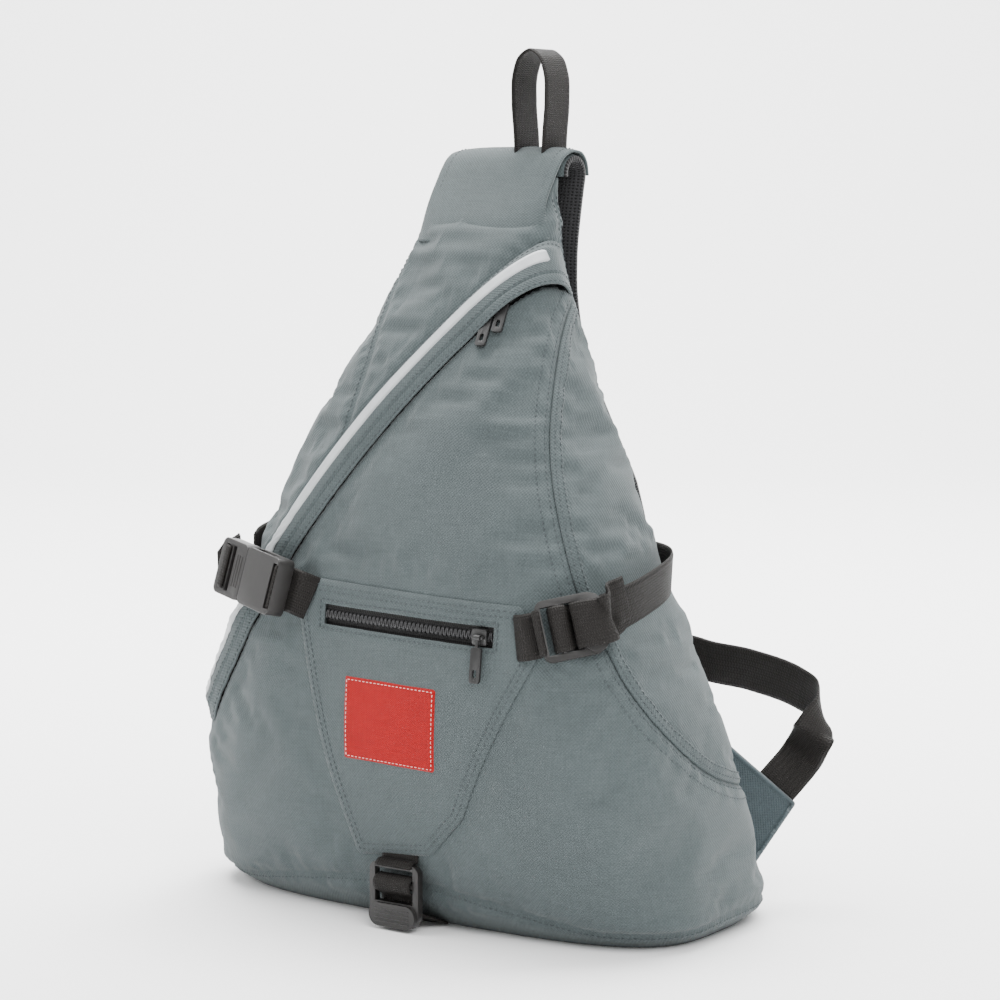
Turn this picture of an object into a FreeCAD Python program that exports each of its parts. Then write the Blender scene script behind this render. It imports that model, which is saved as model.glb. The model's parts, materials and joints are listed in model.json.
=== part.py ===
import FreeCAD, Part
import math
import os

V = FreeCAD.Vector

# ---------------------------------------------------------------- driving sizes (mm)
# The bag stands on z = 0. +X is the wearer's left as seen from the front, +Y is the back, +Z is up.

BODY_WIDTH = 336.0          # widest point of the stuffed body
BODY_DEPTH = 186.0          # front bulge to rear corner
BODY_HEIGHT = 436.0         # floor to the root of the strap fold
BODY_TOP_CUT = 14.0         # the hollow body stops this far below the strap fold
BASE_INSET = 10.0           # how far the rounded base edge pulls in at the floor
BASE_RISE = 16.0            # height of that rounding

FABRIC = 2.0                # shell wall: canvas with its backing
GAP = 0.4                   # clearance between stacked soft layers
BASE_PANEL_HEIGHT = 14.0
BACK_SEAM_DEPTH = 13.0      # back panel wraps this far round towards the front
BACK_FOAM = 5.0
BACK_LINING = 1.0
BACK_FOAM_MARGIN = 12.0

WEBBING_WIDTH = 25.4
WEBBING_THICK = 1.6

POCKET_PANEL_THICK = 1.2
POCKET_DEPTH = 16.0
POCKET_LINING = 1.0
POCKET_SEAM = 8.0           # seam allowance round the pocket window

ZIP_TAPE_THICK = 0.8
ZIP_COIL_WIDTH = 5.2
ZIP_COIL_HEIGHT = 2.0
SLIDER_LENGTH = 9.0
SLIDER_PLATE = 1.5
SLIDER_WALL = 1.5
PULL_LENGTH = 25.0
PULL_WIDTH = 6.4
PULL_THICK = 1.8
PULL_BAR_RADIUS = 0.6
PULL_EYE_RADIUS = 1.6
PULL_CLEAR_ANGLE = 2.0      # a hanging pull stands off the canvas by this many degrees

MAIN_TAPE_HALF = 9.0
MAIN_TAPE_SINK = 2.2        # the tape lies this far under the inside of the wall
POCKET_TAPE_TOP = -1.0
MAIN_CHANNEL_HALF = 6.5
FLAP_LIFT = 4.8
FLAP_THICK = 1.2
FLAP_BELOW = 7.0            # free edge of the flap, below the zip line
FLAP_ABOVE = 16.0           # sewn edge of the flap, above the zip line
FLAP_SEAM = 4.0
STRIP_LOW = 4.5
STRIP_HIGH = 11.0
STRIP_THICK = 0.4

FOLD_Y = 32.0               # strap fold centre line
FOLD_Z = 424.0
FOLD_INNER = 5.0
STRAP_SHELL = 1.5
STRAP_FOAM = 5.4
STRAP_MESH = 2.0
STRAP_TOP_WIDTH = 82.0
STRAP_END_WIDTH = 46.0

HANDLE_HEIGHT = 59.0
HANDLE_SPREAD = 23.0
HANDLE_X = 16.5
HANDLE_THICK = 1.8

# Side profile and plan of the stuffed body. Each row is: height as a share of BODY_HEIGHT,
# half width as a share of BODY_WIDTH / 2, front and back as shares of BODY_DEPTH, and how
# square the plan is (2 is an ellipse).
PROFILE = [
    (0.000, 0.988, -0.409, 0.452, 3.5),
    (0.030, 1.000, -0.433, 0.450, 3.5),
    (0.103, 0.988, -0.489, 0.403, 3.5),
    (0.222, 0.952, -0.548, 0.312, 3.5),
    (0.349, 0.857, -0.550, 0.258, 3.1),
    (0.482, 0.726, -0.516, 0.215, 2.8),
    (0.656, 0.524, -0.390, 0.172, 2.8),
    (0.780, 0.381, -0.247, 0.142, 2.7),
    (0.858, 0.300, -0.140, 0.130, 2.6),
    (0.929, 0.258, -0.025, 0.130, 2.6),
    (1.000, 0.238, 0.095, 0.134, 2.6),
]


# ---------------------------------------------------------------- body surface

def hermite(rows, column, share):
    """Smooth value of one PROFILE column at a height share."""
    if share <= rows[0][0]:
        return rows[0][column]
    if share >= rows[-1][0]:
        return rows[-1][column]
    i = max(k for k in range(len(rows) - 1) if rows[k][0] <= share)
    x0, x1 = rows[i][0], rows[i + 1][0]
    y0, y1 = rows[i][column], rows[i + 1][column]

    def slope(k):
        lo, hi = max(k - 1, 0), min(k + 1, len(rows) - 1)
        return (rows[hi][column] - rows[lo][column]) / (rows[hi][0] - rows[lo][0])

    h = x1 - x0
    s = (share - x0) / h
    m0, m1 = slope(i) * h, slope(i + 1) * h
    return ((2 * s ** 3 - 3 * s ** 2 + 1) * y0 + (s ** 3 - 2 * s ** 2 + s) * m0
            + (3 * s ** 2 - 2 * s ** 3) * y1 + (s ** 3 - s ** 2) * m1)


def plan(z, t=0.0):
    """Half width, front y, back y and squareness of the body at height z, grown by t."""
    share = z / BODY_HEIGHT
    half = hermite(PROFILE, 1, share) * BODY_WIDTH / 2
    front = hermite(PROFILE, 2, share) * BODY_DEPTH
    back = hermite(PROFILE, 3, share) * BODY_DEPTH
    power = hermite(PROFILE, 4, share)
    above_base = z + min(t, 0.0)
    inset = 0.0
    if above_base < BASE_RISE:
        inset = BASE_INSET * (1 - above_base / BASE_RISE) ** 2
    grow = t - inset
    return half + grow, front - grow, back + grow, power


def ring(z, t, count=40):
    """Closed smooth wire round the body at height z, starting at the middle of the back."""
    half, front, back, power = plan(z, t)
    centre, depth = (front + back) / 2, (back - front) / 2
    points = []
    for i in range(count):
        angle = math.pi / 2 + 2 * math.pi * i / count
        c, s = math.cos(angle), math.sin(angle)
        x = half * math.copysign(abs(c) ** (2 / power), c)
        y = centre + depth * math.copysign(abs(s) ** (2 / power), s)
        points.append(V(x, y, z))
    curve = Part.BSplineCurve()
    even = [i / count for i in range(count + 1)]
    curve.interpolate(Points=points, PeriodicFlag=True, Parameters=even)
    return Part.Wire([curve.toShape()])


_hulls = {}


def hull(t):
    """Solid of the stuffed body, grown outwards by t (or shrunk, when t is negative)."""
    key = round(t, 3)
    if key not in _hulls:
        low = max(-t, 0.0)
        high = BODY_HEIGHT - BODY_TOP_CUT + min(t, 0.0)
        near_base = [0.0, 2.0, 5.0, 10.0, 16.0, 28.0, 45.0]
        steps = 16
        span = high - low - near_base[-1]
        heights = [low + z for z in near_base]
        heights += [low + near_base[-1] + span * (k + 1) / steps for k in range(steps)]
        _hulls[key] = Part.makeLoft([ring(z, t) for z in heights], True, False)
    return _hulls[key]


_layers = {}


def layer(inner, outer):
    """The skin of the body between two growths of the hull."""
    key = (round(inner, 3), round(outer, 3))
    if key not in _layers:
        _layers[key] = hull(outer).cut(hull(inner))
    return _layers[key]


def front_y(x, z, t=0.0):
    """The y of the front surface at x, z, grown by t."""
    half, front, back, power = plan(z, t)
    ratio = min(abs(x) / half, 1.0)
    return (front + back) / 2 - (back - front) / 2 * (1 - ratio ** power) ** (1 / power)


def front_point(x, z, t=0.0):
    return V(x, front_y(x, z, t), z)


def surface_normal(p):
    """Outward unit normal of the body surface at or near point p."""
    def level(q):
        half, front, back, power = plan(q.z)
        centre, depth = (front + back) / 2, (back - front) / 2
        return (abs(q.x) / half) ** power + (abs(q.y - centre) / depth) ** power
    e = 0.5
    g = V(level(p + V(e, 0, 0)) - level(p - V(e, 0, 0)),
          level(p + V(0, e, 0)) - level(p - V(0, e, 0)),
          level(p + V(0, 0, e)) - level(p - V(0, 0, e)))
    return g.normalize()


# ---------------------------------------------------------------- small shape tools

def prism(points, direction):
    """Polygon through points, extruded along direction."""
    return Part.Face(Part.makePolygon(points + [points[0]])).extrude(direction)


def front_prism(outline, y0=-400.0, y1=400.0):
    """Outline of (x, z) points seen from the front, extruded from y0 to y1."""
    return prism([V(x, y0, z) for x, z in outline], V(0, y1 - y0, 0))


def side_prism(outline, x0, x1):
    """Outline of (y, z) points seen from the side, extruded from x0 to x1."""
    return prism([V(x0, y, z) for y, z in outline], V(x1 - x0, 0, 0))


def smooth(points):
    """A spline through a few points, returned as an edge."""
    curve = Part.BSplineCurve()
    curve.interpolate(points)
    return curve.toShape()


def curved_front_prism(curve, corners, y0=-400.0, y1=400.0):
    """A front outline: a smooth run through curve, closed by straight lines through corners."""
    run = smooth([V(x, y0, z) for x, z in curve])
    rest = [curve[-1]] + corners + [curve[0]]
    lines = Part.makePolygon([V(x, y0, z) for x, z in rest])
    wire = Part.Wire([run] + lines.Edges)
    return Part.Face(wire).extrude(V(0, y1 - y0, 0))


def frame_matrix(origin, u, v, n):
    m = FreeCAD.Matrix(u.x, v.x, n.x, origin.x,
                       u.y, v.y, n.y, origin.y,
                       u.z, v.z, n.z, origin.z,
                       0, 0, 0, 1)
    return m


def place(shape, frame):
    """Move a shape from local coordinates (along, across, out) to a frame."""
    moved = shape.copy()
    moved.transformShape(frame_matrix(*frame))
    return moved


def make_frame(origin, along, out):
    """Right-handed frame: along is kept in the surface, out is as near to out as it can be."""
    u = V(along).normalize()
    n = V(out)
    n = (n - u * n.dot(u)).normalize()
    return origin, u, n.cross(u), n


def local_box(x0, x1, y0, y1, z0, z1):
    return Part.makeBox(x1 - x0, y1 - y0, z1 - z0, V(x0, y0, z0))


def slab(frame, x0, x1, y0, y1, z0=-60.0, z1=60.0):
    return place(local_box(x0, x1, y0, y1, z0, z1), frame)


def rounded_box(x0, x1, y0, y1, z0, z1, radius):
    """Box with its edges along z rounded."""
    box = local_box(x0, x1, y0, y1, z0, z1)
    edges = [e for e in box.Edges if e.BoundBox.XLength < 1e-6 and e.BoundBox.YLength < 1e-6]
    return box.makeFillet(radius, edges)


def cylinder_between(a, b, radius):
    return Part.makeCylinder(radius, (b - a).Length, a, b - a)


# ---------------------------------------------------------------- zip tracks

class ZipTrack:
    """A zip that runs on the arc through three points of the front surface."""

    def __init__(self, first, middle, last):
        a, b, c = (front_point(*q) for q in (first, middle, last))
        ab, ac = b - a, c - a
        cross = ab.cross(ac)
        to_centre = (cross.cross(ab) * ac.Length ** 2 + ac.cross(cross) * ab.Length ** 2)
        self.centre = a + to_centre * (1 / (2 * cross.Length ** 2))
        self.radius = (a - self.centre).Length
        self.axis = cross.normalize()
        self.start = (a - self.centre).normalize()
        self.side = self.axis.cross(self.start)
        self.sweep = self.angle_of(c)

    def angle_of(self, p):
        """Turn from the first point, in degrees, positive towards the last."""
        d = p - self.centre
        return math.degrees(math.atan2(d.dot(self.side), d.dot(self.start)))

    def out(self, angle):
        r = math.radians(angle)
        return self.start * math.cos(r) + self.side * math.sin(r)

    def frame(self, angle):
        """Frame on the track: along towards the last point, across, outwards."""
        out = self.out(angle)
        along = self.axis.cross(out)
        return self.centre + out * self.radius, along, out.cross(along), out

    def degrees(self, length):
        return math.degrees(length / self.radius)

    def ribbon(self, angle0, angle1, across0, across1, out0, out1):
        """Body of revolution along the track, with a rectangular section."""
        origin, along, across, out = self.frame(angle0)
        corners = [(across0, out0), (across1, out0), (across1, out1), (across0, out1)]
        points = [origin + across * a + out * o for a, o in corners]
        face = Part.Face(Part.makePolygon(points + [points[0]]))
        return face.revolve(self.centre, self.axis, angle1 - angle0)


def slider_body(coil_top):
    """Zip slider in local coordinates: a plate with two walls that straddle the coil."""
    half = SLIDER_LENGTH / 2
    inner = ZIP_COIL_WIDTH / 2 + 0.3
    outer = inner + SLIDER_WALL
    floor = coil_top + 0.3
    top = floor + SLIDER_PLATE
    plate = rounded_box(-half, half, -outer, outer, floor, top, 1.2)
    walls = [rounded_box(-half + 1, half - 1, y0, y1, coil_top - 1.6, floor, 0.4)
             for y0, y1 in ((-outer, -inner), (inner, outer))]
    bar_height = top + PULL_EYE_RADIUS + 0.2
    posts = [local_box(x - 0.6, x + 0.6, -0.7, 0.7, top, bar_height + 0.8) for x in (-2.9, 2.9)]
    bar = cylinder_between(V(-2.9, 0, bar_height), V(2.9, 0, bar_height), PULL_BAR_RADIUS)
    return plate.fuse(walls + posts + [bar]).removeSplitter(), bar_height


def pull_tab(length, skew, slope):
    """Pull in local coordinates round its bar: a knuckle and a flat tab.

    skew turns the tab in its own plane, from across the track; slope lifts its far end.
    """
    half = PULL_WIDTH / 2
    tab = rounded_box(-half, half, 5.4, length, -PULL_THICK / 2, PULL_THICK / 2, 1.6)
    hole = rounded_box(-1.2, 1.2, length - 7.5, length - 3.0, -5, 5, 1.0)
    tab = tab.cut(hole)
    tab.rotate(V(0, 0, 0), V(1, 0, 0), slope)
    tab.rotate(V(0, 0, 0), V(0, 0, 1), skew)
    neck = local_box(-0.9, 0.9, 0.3, 6.0, -0.7, 0.7)
    neck.rotate(V(0, 0, 0), V(1, 0, 0), slope)
    neck.rotate(V(0, 0, 0), V(0, 0, 1), skew)
    knuckle = cylinder_between(V(-2.0, 0, 0), V(2.0, 0, 0), PULL_EYE_RADIUS)
    pull = knuckle.fuse([tab, neck])
    return pull.cut(cylinder_between(V(-3, 0, 0), V(3, 0, 0), PULL_BAR_RADIUS + 0.15))


# ---------------------------------------------------------------- where things sit on the body

def across(share):
    """x as a share of half the body width."""
    return share * BODY_WIDTH / 2


def up(share):
    return share * BODY_HEIGHT


MAIN_ZIP = ZipTrack((across(0.232), up(0.821)), (across(-0.095), up(0.670)),
                    (across(-0.446), up(0.486)))
POCKET_ZIP_Z = up(0.402)
POCKET_ZIP = ZipTrack((across(0.10) + 56.0, POCKET_ZIP_Z - 2.0), (across(0.10), POCKET_ZIP_Z),
                      (across(0.10) - 56.0, POCKET_ZIP_Z + 2.0))

MAIN_TAPE_TOP = -FABRIC - MAIN_TAPE_SINK
MAIN_COIL_TOP = MAIN_TAPE_TOP + ZIP_COIL_HEIGHT
POCKET_COIL_TOP = POCKET_TAPE_TOP + ZIP_COIL_HEIGHT
MAIN_FIRST = -1.6           # ends of the main track, in degrees of its arc
MAIN_UPPER_AT = 0.3         # where the two sliders park
MAIN_LOWER_AT = 2.0
POCKET_SLIDER_AT = 0.55

# Pocket shield outline, clockwise from the top left, as (x, z).
POCKET_OUTLINE = [(across(-0.292), up(0.452)), (across(0.524), up(0.438)),
                  (across(0.595), up(0.376)), (across(0.315), up(0.160)),
                  (across(0.160), up(0.103)), (across(-0.150), up(0.090)),
                  (across(-0.357), up(0.408))]

# Seams seen from the front, as (x, z), from the top down.
SEAM_TURN_Y = 0.0           # behind this the side panel's edge runs level, at SIDE_SEAM_LOW
SIDE_SEAM_LOW = up(0.205)
BINDING_WIDTH = 6.5
FLAP_END_Y = 5.0            # the flap and the zip end this far round the right edge
ZIP_END_Z = up(0.235)
SIDE_SEAM = [(across(0.33), up(0.86)), (across(0.47), up(0.69)), (across(0.60), up(0.52)),
             (across(0.76), up(0.39)), (across(0.88), up(0.29)), (across(0.975), up(0.205))]
GUSSET_SEAM = [(across(-0.262), up(1.0)), (across(-0.275), up(0.83)), (across(-0.262), up(0.70)),
               (across(-0.30), up(0.60)), (across(-0.40), up(0.52))]


def shrink(outline, margin):
    """Outline moved inwards by margin, corner by corner (corners are clockwise)."""
    result = []
    count = len(outline)
    for i in range(count):
        (ax, az), (bx, bz), (cx, cz) = outline[i - 1], outline[i], outline[(i + 1) % count]
        d1 = V(bx - ax, 0, bz - az).normalize()
        d2 = V(cx - bx, 0, cz - bz).normalize()
        n1, n2 = V(d1.z, 0, -d1.x), V(d2.z, 0, -d2.x)
        mid = (n1 + n2).normalize()
        step = margin / mid.dot(n1)
        result.append((bx + mid.x * step, bz + mid.z * step))
    return result


def half_space(origin, normal, thickness=900.0):
    """A thick block on the far side of a plane."""
    side = V(0, 1, 0).cross(normal)
    frame = make_frame(origin, side, normal)
    return slab(frame, -700, 700, -700, 700, 0.0, thickness)


def back_zone(depth, grow=0.0):
    """Everything behind a side-view line that follows the back of the body."""
    levels = [0.0, 0.1, 0.22, 0.35, 0.5, 0.7, 0.86, 1.05]
    line = [(plan(up(s))[2] - depth, up(s)) for s in levels]
    far = [(300.0, up(1.05)), (300.0, -5.0), (line[0][0], -5.0)]
    return side_prism(line + far, -400, 400)


def main_zip_side(offset, upper):
    """Half space above or below the main zip's plane, starting at offset from it."""
    up_axis = MAIN_ZIP.axis if MAIN_ZIP.axis.z > 0 else MAIN_ZIP.axis * -1
    direction = up_axis if upper else up_axis * -1
    return half_space(MAIN_ZIP.centre + up_axis * offset, direction)


# ---------------------------------------------------------------- body panels

def side_panel_zone():
    """Where the side panel is: right of its front seam, and above its low rear edge."""
    front = curved_front_prism(SIDE_SEAM, [(400.0, up(0.205)), (400.0, up(0.86))], -400.0, SEAM_TURN_Y)
    low = SIDE_SEAM_LOW
    rear = Part.makeBox(400, 400, up(0.86) - low, V(across(0.1), SEAM_TURN_Y, low))
    return front.fuse(rear)


def zip_channel():
    """The slot in the wall that the main zip fills."""
    band = main_zip_side(-MAIN_CHANNEL_HALF, True).cut(main_zip_side(MAIN_CHANNEL_HALF, True))
    length = front_prism([(-400, ZIP_END_Z), (400, ZIP_END_Z), (400, up(1.1)), (-400, up(1.1))],
                         -400.0, FLAP_END_Y)
    return band.common(length)


def body_panels():
    wall = layer(-FABRIC, 0.0)
    base_zone = Part.makeBox(900, 900, BASE_PANEL_HEIGHT + 5, V(-450, -450, -5))
    side_zone = side_panel_zone()
    gusset_zone = curved_front_prism(GUSSET_SEAM, [(-400.0, up(0.52)), (-400.0, up(1.0))])
    gusset_zone = gusset_zone.fuse(front_prism([(-400, up(0.521)), (across(-0.40), up(0.521)),
                                                (across(-0.40), -50), (-400, -50)]))
    bottom = wall.common(base_zone)
    upright = wall.cut(base_zone)
    back = back_zone(BACK_SEAM_DEPTH)
    back_panel = upright.common(back)
    front = upright.cut(back).cut(zip_channel())
    above = front.common(main_zip_side(0.0, True))
    below = front.common(main_zip_side(0.0, False))
    side = below.common(side_zone)
    below = below.cut(side_zone).cut(front_prism(shrink(POCKET_OUTLINE, POCKET_SEAM), -400, 0))
    gusset = above.common(gusset_zone)
    upper = above.cut(gusset_zone)
    return {"bottom_panel": bottom, "back_panel": back_panel, "right_side_panel": side,
            "left_gusset": gusset, "upper_panel": upper, "front_panel": below}


def back_padding():
    inside = back_zone(BACK_SEAM_DEPTH - 4.0)
    middle = Part.makeBox(900, 900, up(0.86), V(-450, -450, BASE_PANEL_HEIGHT + BACK_FOAM_MARGIN))
    foam_out = -FABRIC - GAP
    foam_in = foam_out - BACK_FOAM
    lining_out = foam_in - GAP
    foam = layer(foam_in, foam_out).common(inside).common(middle)
    low = Part.makeBox(900, 900, up(0.86) + 4, V(-450, -450, BASE_PANEL_HEIGHT + BACK_FOAM_MARGIN - 4))
    lining = layer(lining_out - BACK_LINING, lining_out).common(inside).common(low)
    return {"back_foam": foam, "back_lining": lining}


def seam_binding():
    """Bound edge of the side panel, laid over its seam."""
    inner = [(x - BINDING_WIDTH, z) for x, z in SIDE_SEAM]
    outer = list(reversed(SIDE_SEAM))
    run_in = smooth([V(x, -400, z) for x, z in inner])
    run_out = smooth([V(x, -400, z) for x, z in outer])
    ends = [Part.makeLine(V(inner[-1][0], -400, inner[-1][1]), V(outer[0][0], -400, outer[0][1])),
            Part.makeLine(V(outer[-1][0], -400, outer[-1][1]), V(inner[0][0], -400, inner[0][1]))]
    strip = Part.Face(Part.Wire([run_in, ends[0], run_out, ends[1]]))
    strip = strip.extrude(V(0, 400 + SEAM_TURN_Y, 0))
    low = Part.makeBox(400, 400, BINDING_WIDTH, V(0, SEAM_TURN_Y, SIDE_SEAM_LOW - BINDING_WIDTH))
    band = layer(GAP, GAP + 1.1)
    band = band.common(strip.fuse(low)).cut(back_zone(BACK_SEAM_DEPTH))
    return {"side_pocket_binding": band.common(main_zip_side(-FLAP_BELOW - 3.0, False))}


def top_seam():
    """Seam allowance that closes the top of the body under the strap fold."""
    z0 = BODY_HEIGHT - BODY_TOP_CUT
    block = rounded_box(-STRAP_TOP_WIDTH / 2 + 2, STRAP_TOP_WIDTH / 2 - 2, 12.0, 27.0, z0,
                        FOLD_Z - 0.4, 3.0)
    return {"top_seam": block}


# ---------------------------------------------------------------- front pocket

def pocket():
    outline = front_prism(POCKET_OUTLINE, -400, 0)
    window = front_prism(shrink(POCKET_OUTLINE, POCKET_SEAM), -400, 0)
    inner = front_prism(shrink(POCKET_OUTLINE, POCKET_SEAM + POCKET_LINING), -400, 0)
    panel = layer(GAP, GAP + POCKET_PANEL_THICK).common(outline)
    half = 57.0
    zip_window = slab(POCKET_ZIP.frame(POCKET_ZIP.sweep / 2), -half, half, -5.6, 5.6, -30, 30)
    panel = panel.cut(zip_window)
    bag_wall = layer(-POCKET_DEPTH, -FABRIC - GAP).common(window)
    hollow = layer(-POCKET_DEPTH + POCKET_LINING, -FABRIC - GAP).common(inner)
    tray = bag_wall.cut(hollow)
    tape = POCKET_ZIP.ribbon(-0.3, POCKET_ZIP.sweep + 0.3, -9.0, 9.0,
                             POCKET_TAPE_TOP - ZIP_TAPE_THICK, POCKET_TAPE_TOP)
    coil = POCKET_ZIP.ribbon(0.0, POCKET_ZIP.sweep, -ZIP_COIL_WIDTH / 2, ZIP_COIL_WIDTH / 2,
                             POCKET_TAPE_TOP, POCKET_COIL_TOP)
    patch_frame = make_frame(front_point(across(0.048), up(0.275)), V(1, 0, -0.03), V(0, -1, 0))
    patch_zone = slab(patch_frame, -31.5, 31.5, -23.5, 23.5, -20, 20)
    patch = layer(GAP * 2 + POCKET_PANEL_THICK, GAP * 2 + POCKET_PANEL_THICK + 0.7).common(patch_zone)
    slider, pull, _ = zip_pair(POCKET_ZIP, POCKET_SLIDER_AT, POCKET_COIL_TOP, PULL_LENGTH)
    return {"pocket_panel": panel, "pocket_bag": tray, "pocket_zip_tape": tape,
            "pocket_zip_coil": coil, "patch": patch,
            "pocket_slider": slider, "pocket_pull": pull}


def hang_angles(frame, length):
    """How a pull hangs from a frame on a track: its skew and its slope, in degrees."""
    origin, along, cross, out = frame
    down = V(0, 0, -1)
    flat = (down - out * down.dot(out)).normalize()
    skew = math.degrees(math.atan2(-flat.dot(along), flat.dot(cross)))
    tip = origin + flat * length
    rise = (tip.y - front_y(tip.x, tip.z)) * abs(out.y)
    return skew, math.degrees(math.atan2(rise, length)) + PULL_CLEAR_ANGLE


def zip_pair(track, angle, coil_top, pull_length):
    """Slider and pull at an angle of the track, and the pull's pivot frame."""
    body, bar_height = slider_body(coil_top)
    frame = track.frame(angle)
    origin, along, cross, out = frame
    skew, slope = hang_angles(frame, pull_length)
    bar_frame = (origin + out * bar_height, along, cross, out)
    pull = pull_tab(pull_length, skew, slope)
    return place(body, frame), place(pull, bar_frame), bar_frame


# ---------------------------------------------------------------- main zip and storm flap

def closed_stretch(angle, half_width, inner, outer):
    """The zip below the sliders' run, which follows the body down to the zip's end."""
    band = main_zip_side(-half_width, True).cut(main_zip_side(half_width, True))
    origin, along, cross, out = MAIN_ZIP.frame(angle)
    beyond = half_space(origin, along)
    reach = Part.makeBox(400, 400, up(0.5), V(-400, -400, ZIP_END_Z))
    return layer(inner, outer).common(band).common(reach).common(beyond).cut(back_zone(40.0))


def main_zip():
    half_coil = ZIP_COIL_WIDTH / 2
    first = MAIN_FIRST
    last = MAIN_ZIP.sweep + 1.5
    tape_out = MAIN_TAPE_TOP
    tape = MAIN_ZIP.ribbon(first, last, -MAIN_TAPE_HALF, MAIN_TAPE_HALF, tape_out - ZIP_TAPE_THICK,
                           tape_out)
    coil = MAIN_ZIP.ribbon(first, last, -half_coil, half_coil, tape_out, MAIN_COIL_TOP)
    coil_top = MAIN_COIL_TOP
    tape = tape.fuse(closed_stretch(last, MAIN_TAPE_HALF, tape_out - ZIP_TAPE_THICK, tape_out))
    coil = coil.fuse(closed_stretch(last, half_coil, tape_out, coil_top))
    pieces = {"main_zip_tape": tape.common(hull(-FABRIC - 0.1)), "main_zip_coil": coil}
    for name, angle in (("upper", MAIN_UPPER_AT), ("lower", MAIN_LOWER_AT)):
        slider, pull, _ = zip_pair(MAIN_ZIP, angle, coil_top, PULL_LENGTH)
        pieces["main_slider_" + name] = slider
        pieces["main_pull_" + name] = pull
    return pieces


def storm_flap():
    band = main_zip_side(-FLAP_BELOW, True).cut(main_zip_side(FLAP_ABOVE, True))
    seam = main_zip_side(FLAP_ABOVE - FLAP_SEAM, True).cut(main_zip_side(FLAP_ABOVE, True))
    lower_end = front_prism([(-400, ZIP_END_Z), (400, ZIP_END_Z), (400, up(1.1)), (-400, up(1.1))],
                            -400.0, FLAP_END_Y)
    top = FLAP_LIFT + FLAP_THICK
    cover = layer(FLAP_LIFT, top).common(band)
    root = layer(GAP, FLAP_LIFT).common(seam)
    flap = cover.fuse(root).common(lower_end).removeSplitter()
    strip_band = main_zip_side(STRIP_LOW, True).cut(main_zip_side(STRIP_HIGH, True))
    strip = layer(top, top + STRIP_THICK).common(strip_band).common(lower_end)
    return {"zip_flap": flap, "reflective_strip": strip}


# ---------------------------------------------------------------- shoulder strap

STRAP_RUN = [(FOLD_Y + 9.45, FOLD_Z), (37.5, 406.0), (33.5, 382.0), (33.5, 356.0), (40.0, 330.0),
             (54.0, 303.0), (75.0, 270.0), (96.0, 236.0), (109.0, 206.0), (114.0, 182.0)]
STRAP_THICK = STRAP_MESH + STRAP_FOAM + STRAP_SHELL


def strap_offset_run(offset):
    """The strap's side-view line, moved off its middle; positive is the outside."""
    line = Part.BSplineCurve()
    line.interpolate([V(0, y, z) for y, z in STRAP_RUN])
    first, last = line.FirstParameter, line.LastParameter
    points = []
    count = 22
    for i in range(count + 1):
        s = first + (last - first) * i / count
        tangent = line.tangent(s)[0]
        normal = V(0, -tangent.z, tangent.y)
        if i == 0:
            normal = V(0, 1, 0)
        points.append(line.value(s) + normal * offset)
    return points


def strap_outline():
    top, end = STRAP_TOP_WIDTH / 2, STRAP_END_WIDTH / 2
    return [(-top, 470.0), (top, 470.0), (top, 350.0), (top - 1, 310.0), (end + 22, 240.0),
            (end + 18, 175.0), (18 - end, 175.0), (4 - end, 240.0), (1 - top, 310.0), (-top, 350.0)]


def strap_layer(inner, outer, margin=0.0):
    """Solid of one layer of the hanging strap between two offsets."""
    a, b = strap_offset_run(inner), strap_offset_run(outer)
    edges = [smooth(a), Part.makeLine(a[-1], b[-1]), smooth(list(reversed(b))), Part.makeLine(b[0], a[0])]
    face = Part.Face(Part.Wire(edges))
    face.translate(V(-60, 0, 0))
    band = face.extrude(V(120, 0, 0))
    outline = shrink(strap_outline(), margin) if margin else strap_outline()
    return band.common(front_prism(outline))


def fold_layer(inner, outer, half_width):
    """Half ring over the top of the bag."""
    ring_solid = Part.makeCylinder(outer, 2 * half_width, V(-half_width, FOLD_Y, FOLD_Z), V(1, 0, 0))
    ring_solid = ring_solid.cut(Part.makeCylinder(inner, 2 * half_width, V(-half_width, FOLD_Y, FOLD_Z),
                                                  V(1, 0, 0)))
    keep = Part.makeBox(2 * half_width, 80, 40, V(-half_width, FOLD_Y - 40, FOLD_Z))
    return ring_solid.common(keep)


def shoulder_strap():
    half = STRAP_THICK / 2
    mesh_top = -half + STRAP_MESH
    foam_top = mesh_top + STRAP_FOAM
    edges = {"mesh": (-half, mesh_top - 0.1), "foam": (mesh_top + 0.1, foam_top - 0.1),
             "shell": (foam_top + 0.1, half)}
    pieces = {}
    middle = FOLD_INNER + half
    for name, (low, high) in edges.items():
        inset = 3.0 if name == "foam" else 0.0
        pieces["strap_" + name] = strap_layer(low, high, inset)
        width = STRAP_TOP_WIDTH / 2 - inset
        pieces["fold_" + name] = fold_layer(middle + low, middle + high, width)
        pieces["fold_" + name] = pieces["fold_" + name].translated(V(0, 0, 0.15))
    return pieces


def ribbon_through(stations, width, thickness):
    """Flat webbing through stations of (point, width direction, out direction)."""
    wires = []
    for point, wide, out in stations:
        w = V(wide).normalize() * (width / 2)
        n = V(out).normalize() * (thickness / 2)
        corners = [point - w - n, point + w - n, point + w + n, point - w + n]
        wires.append(Part.makePolygon(corners + [corners[0]]))
    spans = []
    for a, b in zip(wires[:-1], wires[1:]):
        spans.append(Part.makeLoft([a, b], True, True))
    solid = spans[0]
    for span in spans[1:]:
        solid = solid.fuse(span)
    return solid


# ---------------------------------------------------------------- webbing hardware

WEB_LIFT = 2.0              # webbing runs this far above the body, clear of the seam bindings
BUCKLE_LIFT = WEB_LIFT + WEBBING_THICK + 0.4
LOCK_WIDTH = 34.0
LOCK_LENGTH = 35.0
LOCK_THICK = 4.5
LOCK_BAR = 3.0

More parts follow.
